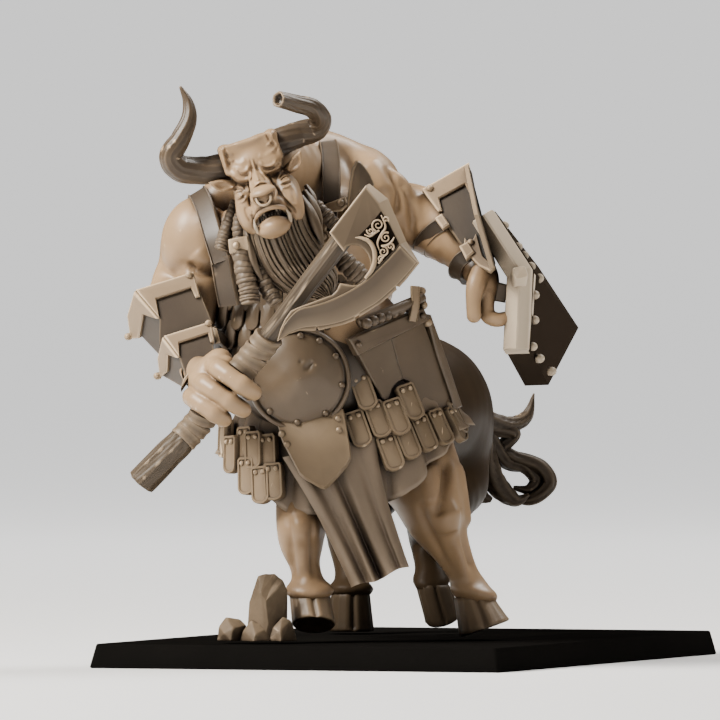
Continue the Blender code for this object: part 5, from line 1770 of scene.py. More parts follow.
@dataclass
class Armour:
    """Belly plate, tasset, hip plate and the plates on both forearms."""

    belly: tuple[float, float, float] = (-12.4, -23.2, 30.0)
    belly_radius: float = 5.85
    rivet: float = 0.42

    def build(self) -> None:
        """Build each plate."""
        self._belly_plate()
        self._tasset()
        self._hip_plate()
        self._right_forearm()
        self._left_forearm()

    def _belly_plate(self) -> None:
        """Dome with a rolled rim, dents and rivets: rings about its middle, from the back to the crown."""
        batch = Batch()
        angle = 2 * math.pi * np.arange(120) / 120
        layers = [(0.6, 1.4), (1.0, 1.4), (1.012, 0.6), (1.02, 0.1), (1.015, -0.25), (0.995, -0.5),
                  (0.965, -0.62), (0.935, -0.5), (0.915, -0.25), (0.9, -0.14)]
        for share in np.linspace(0.86, 0.03, 26):
            crown = 2.35 * math.sqrt(1 - (share / 1.02) ** 2) * (1 - 0.25 * share)
            layers.append((share, -0.2 - crown + 0.6 * share))
        rings = []
        for share, deep in layers:
            across = self.belly_radius * share * np.cos(angle)
            up = self.belly_radius * share * np.sin(angle)
            push = np.zeros_like(angle)
            if share < 0.88:
                for x, y, reach, depth in ((1.0, 1.3, 0.42, 0.32), (1.35, 1.75, 0.3, 0.28),
                                           (-4.4, -2.2, 0.35, 0.25),
                                           (0.2, 2.0, 0.25, 0.2), (-3.2, 0.8, 1.2, 0.10),
                                           (2.4, -1.6, 1.4, 0.12)):
                    push += depth * np.exp(-((across - x) ** 2 + (up - y) ** 2) / reach ** 2)
                push += 0.035 * np.sin(1.7 * across + 1.1) * np.sin(1.9 * up + 0.4)
            rings.append(np.column_stack([self.belly[0] + across, self.belly[1] + deep + push,
                                          self.belly[2] + up]))
        batch.grid(np.array(rings))
        turns = np.radians([88, 62, 32, -8, -52, -92, -132, -168])
        places = np.column_stack([self.belly[0] + 4.95 * np.cos(turns), np.full(8, self.belly[1] - 0.75),
                                  self.belly[2] + 4.95 * np.sin(turns)])
        studs(batch, places, (0, -1, 0), 0.4)
        batch.build("belly_plate", PLATE)

    def _tasset(self) -> None:
        """Pointed plate under the belly plate."""
        batch = Batch()
        lay = faced((-14.8, -23.7, 24.1), (-7.5, -23.6, 26.0), (-9.6, -26.0, 18.0))
        outline = [(-15.1, 25.6), (-11.2, 27.2), (-7.3, 26.6), (-6.95, 24.6), (-6.6, 22.6), (-6.45, 21.2),
                   (-6.8, 20.4), (-8.0, 19.0), (-9.1, 17.85), (-9.5, 17.65), (-9.95, 17.75), (-11.8, 18.75),
                   (-12.4, 19.3), (-13.4, 21.2), (-14.4, 23.1)]
        plate(batch, outline, lay, 1.0, 0.18, dome=0.5, spacing=0.4, rings=9)
        studs(batch, lay(np.array([[-14.35, 23.7, 0.05], [-13.75, 22.5, 0.05], [-7.9, 25.4, 0.1],
                                   [-7.8, 24.1, 0.1]])),
              (0, -1, 0), self.rivet)
        batch.build("tasset", LEAF, Surface.CREASED)

    @staticmethod
    def hip(points: np.ndarray) -> np.ndarray:
        """Bend back round the hip: depth grows with across beyond the plate's left edge.

        Args:
            points: Across, up and height on the plate.

        Returns:
            Places on the figure.
        """
        reach = points[:, 0] + 6.8
        deep = -24.2 + 0.62 * reach + 0.018 * reach ** 2
        slope = 0.62 + 0.036 * reach
        out = unit(np.column_stack([slope, -np.ones_like(slope), np.zeros_like(slope)]))
        return np.column_stack([points[:, 0], deep, points[:, 1]]) + points[:, 2:] * out

    def _hip_plate(self) -> None:
        """Flared plate over the hip with a riveted top band, a centre crease and a trimmed rear edge."""
        batch = Batch()
        left = [(-5.6, 32.9), (-2.0, 34.6), (-1.2, 31.6), (-0.6, 29.9), (-1.2, 29.6), (-1.75, 28.9),
                (-2.1, 27.8), (-2.45, 27.2), (-2.9, 27.9), (-4.2, 30.3)]
        right = [(-2.0, 34.6), (1.9, 36.5), (3.4, 32.5), (5.4, 26.5), (4.8, 26.2), (3.9, 25.5), (3.0, 25.5),
                 (2.15, 26.4), (1.3, 27.6), (0.7, 28.9), (0.1, 29.65), (-0.6, 29.9), (-1.2, 31.6)]

        def creased(points: np.ndarray) -> np.ndarray:
            """The hip's bend, pushed out along the crease down the plate's middle.

            Args:
                points: Across, up and height on the plate.

            Returns:
                Places on the figure.
            """
            shift = points.copy()
            shift[:, 2] += 0.35 * np.exp(-np.abs(points[:, 0] + 1.6 - 0.15 * (34.0 - points[:, 1])) / 1.2)
            return self.hip(shift)
        plate(batch, left, creased, 0.9, 0.14, spacing=0.3, rings=8)
        plate(batch, right, creased, 0.9, 0.14, spacing=0.3, rings=8)
        seam = self.hip(np.array([[-2.05, 34.7, 0.02], [-1.6, 33.1, 0.02], [-1.2, 31.6, 0.02],
                                  [-0.6, 29.95, 0.02]]))
        swept(batch, [(*place, 0.2) for place in seam], 20, 10)
        batch.build("hip_plate", PLATE, Surface.CREASED)
        trim = Batch()
        band = divided([(-6.9, 34.6), (1.6, 38.1), (2.3, 36.7), (-5.9, 32.7)], 0.6)
        slab(trim, band, lambda points: self.hip(points + np.array([0, 0, 0.55])), 1.2, 0.14)
        edge = divided([(1.9, 37.4), (2.5, 37.3), (4.4, 32.0), (6.15, 26.7), (5.2, 26.2), (4.9, 27.6),
                        (3.2, 32.6)], 0.6)
        slab(trim, edge, lambda points: self.hip(points + np.array([0, 0, 0.5])), 1.1, 0.16)
        studs(trim, self.hip(np.array([[-5.9, 34.0, 0.6], [1.4, 37.2, 0.6]])), (0.5, -1, 0), self.rivet)
        trim.build("hip_band_and_trim", PLATE, Surface.CREASED)

    def _right_forearm(self) -> None:
        """Two overlapping shells, each of two flat sides that meet in a ridge, with stepped trim."""
        upper_right = faced((-31.3, -20.6, 40.2), (-24.5, -20.3, 42.1), (-28.0, -23.6, 34.0))
        corner = upper_right(np.array([[-28.45, 37.0, 0.0]]))[0]
        upper_left = faced((-31.3, -20.6, 40.2), corner, (-32.2, -16.4, 36.5))
        lower_right = faced((-27.8, -25.0, 34.9), (-22.5, -24.4, 36.5), (-26.0, -28.8, 28.8))
        corner = lower_right(np.array([[-26.1, 32.55, 0.0]]))[0]
        lower_left = faced((-27.8, -25.0, 34.9), corner, (-28.5, -21.4, 31.6))
        panels, trims, straps = Batch(), Batch(), Batch()
        slab(panels, [(-31.0, 40.0), (-24.6, 42.0), (-22.3, 36.4), (-27.8, 34.6), (-28.4, 33.9),
                      (-28.4, 36.9)],
             upper_right, 0.7, 0.08)
        slab(panels, [(-31.0, 40.0), (-28.4, 36.9), (-27.6, 35.2), (-28.4, 32.5), (-30.5, 34.7),
                      (-31.6, 34.8), (-32.0, 37.3)],
             upper_left, 0.7, 0.08)
        slab(panels, [(-27.7, 34.7), (-22.6, 36.3), (-22.1, 33.0), (-24.2, 31.8), (-25.9, 29.1),
                      (-25.4, 30.7), (-26.1, 32.6)],
             lower_right, 0.7, 0.08)
        slab(panels, [(-27.7, 34.7), (-26.1, 32.6), (-25.4, 30.7), (-25.9, 29.1), (-28.1, 30.3),
                      (-28.4, 32.3)],
             lower_left, 0.7, 0.08)
        panels.build("right_forearm_panels", SHELL, Surface.CREASED)
        raised = 0.38

        def trim(outline: Knots, lay: Lay) -> None:
            """One piece of trim, raised over the panel."""
            slab(trims, outline, lambda points: lay(points + np.array([0, 0, raised])), 0.9, 0.13)
        trim([(-31.15, 40.1), (-24.5, 42.15), (-24.2, 41.0), (-23.75, 39.35), (-24.25, 39.2),
              (-24.8, 40.33), (-28.77, 39.04), (-28.45, 37.0)], upper_right)
        trim([(-31.15, 40.1), (-28.45, 37.0), (-30.1, 37.45), (-30.6, 34.7), (-31.67, 34.6),
              (-32.0, 37.26)], upper_left)
        trim([(-27.85, 34.85), (-22.45, 36.5), (-22.1, 34.25), (-22.5, 34.1), (-22.8, 35.1), (-26.1, 34.04),
              (-26.1, 32.55)],
             lower_right)
        trim([(-27.85, 34.85), (-26.1, 32.55), (-27.2, 32.85), (-27.3, 30.9), (-28.2, 30.2),
              (-28.45, 32.4)], lower_left)
        trim([(-22.0, 33.1), (-22.2, 32.4), (-24.2, 31.2), (-25.9, 28.8), (-25.6, 30.0), (-24.2, 31.75)],
             lower_right)
        studs(trims, upper_right(np.array([[-25.0, 41.75, raised]])), (0.1, -1, 0.3), self.rivet)
        studs(trims, lower_right(np.array([[-22.75, 36.2, raised]])), (0.1, -1, 0.3), self.rivet)
        studs(trims, upper_left(np.array([[-31.75, 34.95, 0.5]])), (-1, -0.6, -0.2), self.rivet)
        studs(trims, lower_left(np.array([[-28.3, 30.45, 0.5]])), (-1, -0.6, -0.2), self.rivet)
        trims.build("right_forearm_trim", TRIM, Surface.CREASED)
        for knots, facing in (
                ([(-23.9, -18.9, 39.0), (-22.6, -17.9, 38.2), (-21.6, -15.6, 37.4), (-22.2, -12.6, 37.0)],
                 [(0.3, -1, 0), (0.7, -0.7, 0), (1, 0, 0), (1, 0.6, 0)]),
                ([(-22.5, -22.8, 35.6), (-21.4, -21.9, 34.6), (-20.8, -19.8, 33.6), (-21.6, -17.2, 33.0)],
                 [(0.3, -1, 0), (0.7, -0.7, 0), (1, 0, 0), (1, 0.6, 0)])):
            ribbon(straps, knots, 1.2, 0.35, facing, 20)
        straps.build("right_forearm_straps", DARK_PLATE, Surface.CREASED)
        loops = Batch()
        slab(loops, [(-23.9, 39.1), (-23.4, 39.0), (-22.8, 37.4), (-23.3, 37.3)],
             faced((-23.9, -19.6, 39.0), (-22.9, -19.4, 39.0), (-23.3, -20.2, 37.4)), 0.6)
        slab(loops, [(-22.3, 36.0), (-21.8, 35.8), (-21.4, 34.3), (-21.9, 34.2)],
             faced((-22.3, -23.4, 36.0), (-21.5, -23.2, 36.0), (-21.9, -24.0, 34.3)), 0.6)
        loops.build("right_forearm_loops", TRIM, Surface.CREASED)

    def _left_forearm(self) -> None:
        """One long plate with stepped trim at both ends, and two buckled straps."""
        front = faced((7.2, -10.9, 54.6), (1.8, -11.9, 51.5), (8.2, -17.4, 43.9))
        side = faced((7.2, -10.9, 54.6), (7.9, -5.6, 53.4), (10.3, -17.2, 42.8))
        panel, trims, straps, buckles = Batch(), Batch(), Batch(), Batch()
        slab(panel, [(1.9, 51.5), (7.1, 54.5), (10.1, 42.8), (8.8, 43.9), (6.4, 45.1)], front, 0.7, 0.1)
        slab(panel, [(7.1, 54.5), (7.6, 53.6), (8.35, 49.6), (10.3, 43.2), (10.0, 42.8), (8.2, 48.9)], side,
             0.6, 0.08)
        panel.build("left_forearm_panel", SHELL, Surface.CREASED)
        lift = np.array([0, 0, 0.4])
        slab(trims, [(1.75, 51.55), (7.2, 54.65), (7.9, 50.6), (7.45, 50.75), (6.75, 52.1), (3.75, 50.5),
                     (4.1, 49.1), (3.65, 49.0)],
             lambda points: front(points + lift), 0.9, 0.14)
        slab(trims, [(6.7, 46.0), (7.3, 45.1), (8.0, 46.5), (8.75, 43.9), (10.15, 42.7), (9.6, 42.2),
                     (8.3, 42.8), (6.5, 44.7)],
             lambda points: front(points + lift), 0.9, 0.12)
        studs(trims, front(np.array([[2.7, 51.6, 0.4], [7.4, 45.4, 0.4]])), (0.1, -1, 0.2), self.rivet)
        trims.build("left_forearm_trim", TRIM, Surface.CREASED)
        for knots, facing in (
                ([(4.4, -13.9, 47.8), (3.2, -13.6, 47.2), (1.9, -12.4, 45.8), (1.6, -10.2, 44.7),
                  (2.6, -7.4, 44.2)],
                 [(0, -1, 0), (-0.3, -1, -0.3), (-0.7, -0.8, -0.8), (-0.6, 0, -1), (0, 0.7, -1)]),
                ([(7.0, -16.9, 44.2), (6.0, -16.6, 43.4), (5.6, -15.2, 42.2), (6.0, -13.2, 41.4),
                  (7.2, -11.0, 41.4)],
                 [(0, -1, 0), (-0.3, -1, -0.3), (-0.7, -0.8, -0.8), (-0.6, 0, -1), (0, 0.7, -1)])):
            ribbon(straps, knots, 1.7, 0.4, facing, 24)
        straps.build("left_forearm_straps", DARK_PLATE, Surface.CREASED)
        for outline in ([(3.3, 48.1), (4.1, 48.6), (4.95, 47.4), (4.2, 46.9)],
                        [(6.1, 44.9), (7.1, 45.4), (7.9, 44.2), (6.9, 43.4)]):
            slab(buckles, outline, lambda points: front(points + np.array([0, 0, 0.75])), 0.9, 0.16)
        buckles.build("left_forearm_buckles", TRIM, Surface.CREASED)


@dataclass
class Skirt:
    """Cloth skirt, the lamellae over it, and the long loincloth in front."""

    middle: tuple[float, float] = (-7.2, -11.0)
    plate_length: float = 4.4
    plate_width: float = 2.4
    lamellae: tuple = ((-5.7, 24.3, 0), (-5.2, 28.6, 1), (-3.6, 25.4, 0), (-2.2, 21.6, 0), (-1.7, 25.7, 1),
                       (-0.3, 27.4, 1), (-0.4, 22.9, 0), (1.4, 23.8, 0), (3.1, 24.5, 0), (4.8, 24.8, 0),
                       (6.1, 25.7, 0),
                       (-15.5, 21.5, 0), (-16.8, 21.8, 1), (-17.9, 22.3, 0), (-14.9, 18.2, 0),
                       (-16.3, 17.8, 0),
                       (-17.8, 18.8, 0), (-19.2, 21.2, 1), (-20.4, 23.0, 1), (-20.9, 23.0, 0))

    def build(self) -> None:
        """Build the cloth, the lamellae and the loincloth."""
        self._cloth()
        self._lamellae()
        self._loincloth()

    def _reach(self, share: float | np.ndarray) -> tuple:
        """Half widths of the bell across and deep, at a share of the way down."""
        return 11.0 + 3.6 * share, 9.7 + 1.6 * share

    def _cloth(self) -> None:
        """Bell of cloth with pleats that deepen to the hem, turned in under it.

        A point at an angle lies at the bell's half widths, times one plus pleats in proportion to
        the share of the way down.
        """
        batch = Batch()
        angle = 2 * math.pi * np.arange(260) / 260
        pleat = (0.10 * np.abs(np.sin(11 * angle + 1.1 * np.sin(3 * angle))) ** 0.7 - 0.06
                 + 0.02 * np.sin(31 * angle + 2.0 * np.sin(2 * angle)))
        rings = []
        shares = [(share, 1.0) for share in np.linspace(0, 1, 22)] + [(1.0, 0.965), (0.9, 0.93), (0.6, 0.9)]
        for share, shrink in shares:
            reach_u, reach_d = self._reach(share)
            across = self.middle[0] + reach_u * np.cos(angle)
            deep = self.middle[1] + reach_d * np.sin(angle)
            hem = (14.4 + np.maximum(0, (across + 4.0) * 0.62) + np.maximum(0, (across - 1.0) * 0.6)
                   + np.maximum(0, (-13.6 - across) * 0.85) + np.maximum(0, (deep + 4.0) * 0.22))
            up = 31.0 + (np.minimum(hem, 24.5) - 31.0) * share
            swell = shrink * (0.985 + pleat * share)
            rings.append(np.column_stack([self.middle[0] + (across - self.middle[0]) * swell,
                                          self.middle[1] + (deep - self.middle[1]) * swell, up]))
        batch.grid(np.array(rings))
        batch.build("skirt_cloth", CLOTH)

    def _lamellae(self) -> None:
        """Long plates with round ends, a raised rim and two rivets, hung in rows that overlap."""
        batch, rivets = Batch(), Batch()
        half, length = self.plate_width / 2, self.plate_length / 2
        turn = np.radians(np.linspace(0, 180, 9))
        outline = [(half, length * 0.86), (half * 0.8, length), (-half * 0.8, length),
                   (-half, length * 0.86)]
        outline += list(zip(-half * np.cos(turn), -length * 0.62 - length * 0.38 * np.sin(turn)))
        for across, up, row in self.lamellae:
            share = min(1.0, (31.0 - up) / 13.5)
            reach_u, reach_d = self._reach(share)
            cos = max(-0.97, min(0.97, (across - self.middle[0]) / reach_u))
            angle = -math.acos(cos)
            out = unit(np.array([[math.cos(angle) / reach_u, math.sin(angle) / reach_d, 0.0]]))[0]
            place = np.array([self.middle[0] + reach_u * cos, self.middle[1] + reach_d * math.sin(angle),
                              up])
            place = place + out * (1.25 + 0.35 * row)
            lean = 0.34 if across > -8 else 0.12
            down = unit((np.array([lean, 0, -1.0]) + out * 0.16)[None])[0]
            side = unit(np.cross(out, down)[None])[0]
            side = side if side[0] > 0 else -side
            lay = plane(place, side, -down)
            if lay(np.array([[0, 0, 1.0]]))[0][1] > place[1]:
                lay = plane(place, -side, -down)
            plate(batch, outline, lay, 0.85, 0.08, rim=(0.2, 0.14), dome=0.14, spacing=0.4, rings=4)
            studs(rivets, lay(np.array([[-0.5, length * 0.68, -0.05], [0.5, length * 0.68, -0.05]])), out,
                  0.3)
        batch.build("skirt_lamellae", LEAF, Surface.CREASED)
        rivets.build("lamella_rivets", TRIM)

    def _loincloth(self) -> None:
        """Long cloth whose folds run parallel to its left edge and deepen to the hem.

        Each ring goes down the front and up the back at one share of the width; the front's depth
        is a smooth curve of that share, the deepest valley a little past the middle.
        """
        batch = Batch()
        fold = curve([(0.0, 0.5), (0.07, -0.35), (0.15, -0.6), (0.24, 0.35), (0.3, 0.1), (0.38, -0.65),
                      (0.44, -0.5), (0.5, 1.0),
                      (0.55, 0.5), (0.63, -0.7), (0.74, -0.75), (0.82, -0.1), (0.88, -0.45), (0.95, -0.3),
                      (1.0, 0.5)], 200)
        down = np.linspace(0, 1, 40)
        rings = []
        for share in np.linspace(0, 1, 150):
            drift = share + 0.07 * np.sin(math.pi * share) * (1 - down)
            deep = np.interp(drift, fold[:, 0], fold[:, 1])
            fine = 0.05 * np.sin(38 * share + 3 * down)
            top = np.array([-14.3 + 10.6 * share, -22.9 + 0.8 * share ** 2, 21.0 + 2.4 * share])
            low = np.array([-6.4 + 6.65 * share, -24.3 + 1.4 * share ** 2, 5.95 + 2.5 * share
                            + 0.22 * math.sin(9 * share + 0.6)])
            path = top + (low - top) * down[:, None]
            path[:, 0] += (0.45 - 1.0 * share) * np.sin(math.pi * down)
            front = path.copy()
            front[:, 1] += (deep + fine) * (0.25 + 0.8 * down)
            back = front[::-1].copy()
            back[:, 1] += 0.75
            rings.append(np.vstack([front, back]))
        batch.grid(np.array(rings), poles=False)
        batch.build("loincloth", CLOTH, Surface.CREASED)


@dataclass
class Shield:
    """Folded shield seen near edge-on: pale rim in two bands, near-black face of painted shade, rivets, boss
    and grip.
    """

    outer: tuple = ((9.8, -18.0, 49.5), (14.2, -18.0, 42.8), (13.9, -18.0, 33.4))
    far: tuple = ((15.3, -3.0, 42.6), (19.9, -2.5, 35.6), (16.4, -4.5, 29.0))
    inner: tuple = ((-2.4, 0.0, -1.5), (-2.8, 0.0, -1.1), (-2.9, 0.0, -0.1))
    rim_depth: float = 2.0

    def build(self) -> None:
        """Build the rim, the slab behind it, the rivets, the boss and the grip."""
        outer, far, inner = (np.array(group) for group in (self.outer, self.far, self.inner))
        back = unit(far - outer)
        rim, slab_ = Batch(), Batch()
        rings, body = [], []
        for i, spread in ((0, 0.0), (0, 0.14), (1, 0.0), (2, -0.14), (2, 0.0)):
            ends = 0.25 if spread == 0.0 and i != 1 else 0.0
            o, n, b = outer[i], inner[i], back[i]
            if i == 0:
                o = o + (outer[1] - outer[0]) * 0.012 * (spread > 0)
            if i == 2:
                o = o + (outer[1] - outer[2]) * 0.012 * (spread < 0)
            m = o + n * 0.45 + np.array([0.0, -1.15, 0.0])
            section = [o + b * self.rim_depth, o + b * 0.25, o + n * 0.05, m + (o - m) * 0.12,
                       m + (o + n - m) * 0.06, o + n * 0.95, o + n + b * 0.25, o + n + b * self.rim_depth]
            middle = np.mean(section, axis=0)
            rings.append([p + (middle - p) * ends * 0.3 for p in section])
            p, q = o - n * 0.03 + b * 0.9, far[i] if i != 1 else far[1]
            body.append([p, q, q + n * 0.94, p + n * 0.94])
        rim.grid(np.array(rings), poles=False)
        rim.build("shield_rim", BONE, Surface.CUT)
        # The shield's face is near black: painted shade.
        slab_.grid(np.array([body[0], body[2], body[4]]), poles=False)
        slab_.build("shield_body", SHADE, Surface.CUT)
        self._rivets(outer, far)
        self._boss()

    def _rivets(self, outer: np.ndarray, far: np.ndarray) -> None:
        """Rivets on the dark face close to the rim, and along its lower end.

        Args:
            outer: The rim's three corners.
            far: The face's three far corners.
        """
        batch = Batch()
        for first, second, away, places in (
                (outer[0], outer[1], far[0], ((0.13, 0.16), (0.5, 0.15), (0.6, 0.2), (0.86, 0.13),
                                              (0.97, 0.22))),
                (outer[1], outer[2], far[1], ((0.26, 0.11), (0.56, 0.12), (0.9, 0.1), (0.935, 0.25),
                                              (0.907, 0.5)))):
            normal = np.cross(second - first, away - first)
            normal = normal if normal[0] > 0 else -normal
            spots = [first + (second - first) * along + (away - first) * deep for along, deep in places]
            studs(batch, spots, normal, 0.52)
        batch.build("shield_rivets", BONE)

    def _boss(self) -> None:
        """Square clasp over the bend, and the grip's block behind the thumb."""
        batch = Batch()
        across, up = np.array([1.0, 0.2, 0.2]), np.array([-0.25, 0.5, 1.0])
        lay = plane((13.0, -20.2, 42.2), across, up)
        turn = np.radians(np.arange(0, 360, 15))
        round_ = np.column_stack([np.sign(np.cos(turn)) * np.abs(np.cos(turn)) ** 0.5 * 0.85,
                                  np.sign(np.sin(turn)) * np.abs(np.sin(turn)) ** 0.5 * 0.85])
        plate(batch, round_, lay, 2.6, 0.2, dome=0.15, spacing=0.5, rings=5)
        batch.build("shield_clasp", BONE, Surface.CREASED)
        grip = Batch()
        lay = plane((10.8, -17.2, 39.8), (1, 0, -0.1), (0.1, 0, 1))
        slab(grip, [(-0.7, -1.0), (0.6, -1.1), (0.7, 1.0), (-0.5, 1.2)], lay, 4.5, 0.15)
        grip.build("shield_grip", PLATE, Surface.CREASED)


@dataclass
class Hooves:
    """Four hooves with long grooves; the planted ones are cut flat, the raised ones show their soles."""

    def build(self) -> None:
        """Build each hoof: rings that widen down from the cuff, grooved lengthwise."""
        batch = Batch()
        for low, high, low_radius, high_radius, tilt in (
                ((8.95, -12.4, 1.1), (7.7, -11.8, 4.7), 2.8, 2.2, (0.34, 0.0)),
                ((-6.5, 11.9, 0.0), (-6.5, 12.2, 4.6), 2.65, 2.15, (0.0, 0.0)),
                ((-10.7, -22.3, 1.8), (-11.2, -20.7, 5.4), 2.4, 2.25, (0.0, -0.42)),
                ((4.3, 8.6, 1.7), (3.0, 9.6, 5.6), 2.0, 1.9, (0.25, 0.45))):
            batch.grid(self._rings(np.array(low), np.array(high), low_radius, high_radius, tilt))
        # The rear hooves are darkened by the finish's painted shade.
        batch.build("hooves", HOOF)

    def _rings(self, low: np.ndarray, high: np.ndarray, low_radius: float, high_radius: float,
               tilt: tuple[float, float]) -> np.ndarray:
        """Rings from the sole to the cuff, the sole hollowed and tilted by a slope across and deep.

        Args:
            low: Middle of the sole.
            high: Middle of the cuff.
            low_radius: Radius of the sole.
            high_radius: Radius at the cuff.
            tilt: The sole's slope across and deep, nought where planted.

        Returns:
            The rings.
        """
        angle = 2 * math.pi * np.arange(72) / 72
        cleft = 0.2 * np.exp(-((angle - math.radians(277)) / 0.09) ** 2)
        planks = np.abs(np.sin(6.5 * angle + 0.9 * np.sin(3 * angle))) ** 0.35
        groove = 0.955 + 0.065 * planks + 0.012 * np.sin(31 * angle) - cleft
        planted = tilt == (0.0, 0.0)
        rings = []
        shape = [(0.0, 0.6, 0.12), (0.0, 0.85, 0.04), (0.0, 0.97, 0.0), (0.02, 1.02, 0.0), (0.08, 1.03, 0.0)]
        if not planted:
            shape = [(0.12, 0.5, 0.0), (0.1, 0.7, 0.0), (0.0, 0.86, 0.0), (-0.02, 0.97, 0.0),
                     (0.03, 1.03, 0.0)]
        shape += [(s, 1.02, 0.0) for s in np.linspace(0.15, 0.9, 9)] + [(0.97, 0.99, 0.0), (1.02, 0.8, 0.0)]
        for share, wide, lift in shape:
            middle = low + (high - low) * share
            radius = (low_radius + (high_radius - low_radius) * min(max(share, 0), 1)) * wide
            carved = groove if 0.02 < share < 0.98 else np.ones_like(groove)
            across, deep = np.cos(angle) * radius * carved, np.sin(angle) * radius * carved
            up = middle[2] + (lift if planted else 0.0) + (tilt[0] * across + tilt[1] * deep) * (1 - share)
            rings.append(np.column_stack([middle[0] + across, middle[1] + deep, np.maximum(up, 0.02)]))
        return np.array(rings)


@dataclass
class Tail:
    """Thick locks of the tail, one curling up and the rest curling round."""

    def build(self) -> None:
        """Sweep each lock with its strands as grooves that twist along it."""
        batch = Batch()

        def strands(share: np.ndarray, angle: np.ndarray) -> np.ndarray:
            """Grooves between the strands of a lock.

            Args:
                share: Share of the way along.
                angle: Angle round the lock.

            Returns:
                Factor of the radius.
            """
            twist = angle + 2.4 * share
            return 0.78 + 0.28 * np.abs(np.sin(3 * twist)) ** 0.5 + 0.03 * np.sin(17 * twist)
        for knots in (
                [(6.2, 20.6, 25.2, 1.7), (9.8, 24.0, 24.2, 1.15), (12.4, 26.0, 23.9, 0.9),
                 (14.2, 27.0, 24.9, 0.7), (15.0, 27.0, 27.5, 0.08)],
                [(9.0, 24.0, 23.6, 1.2), (12.6, 26.2, 22.9, 0.8), (11.2, 26.6, 21.0, 0.85),
                 (12.6, 27.0, 19.9, 0.95),
                 (15.6, 27.6, 18.9, 0.9), (16.8, 28.0, 16.9, 0.85), (14.6, 27.6, 15.0, 0.7),
                 (12.0, 27.0, 15.4, 0.3)],
                [(9.2, 24.2, 23.2, 1.0), (11.6, 26.6, 19.6, 0.85), (13.8, 27.4, 18.9, 0.8),
                 (15.2, 28.2, 17.4, 0.75), (14.4, 28.0, 16.2, 0.6), (12.6, 27.6, 16.4, 0.25)],
                [(8.4, 23.6, 22.6, 1.8), (9.2, 24.8, 19.6, 1.5), (10.6, 25.6, 16.8, 1.3),
                 (12.8, 26.4, 15.0, 0.8), (14.4, 26.8, 15.6, 0.2)],
                [(7.4, 23.0, 22.0, 2.2), (7.4, 24.0, 18.6, 2.0), (8.6, 24.6, 15.8, 1.1),
                 (10.0, 24.8, 15.0, 0.3)],
                [(8.6, 25.4, 21.0, 1.0), (8.2, 25.8, 18.8, 0.8), (9.8, 26.2, 17.6, 0.7),
                 (9.6, 26.4, 19.4, 0.3)]):
            swept(batch, knots, 70, 30, relief=strands)
        # The tail's dark colour is painted shade of the rear.
        batch.build("tail", MANE)


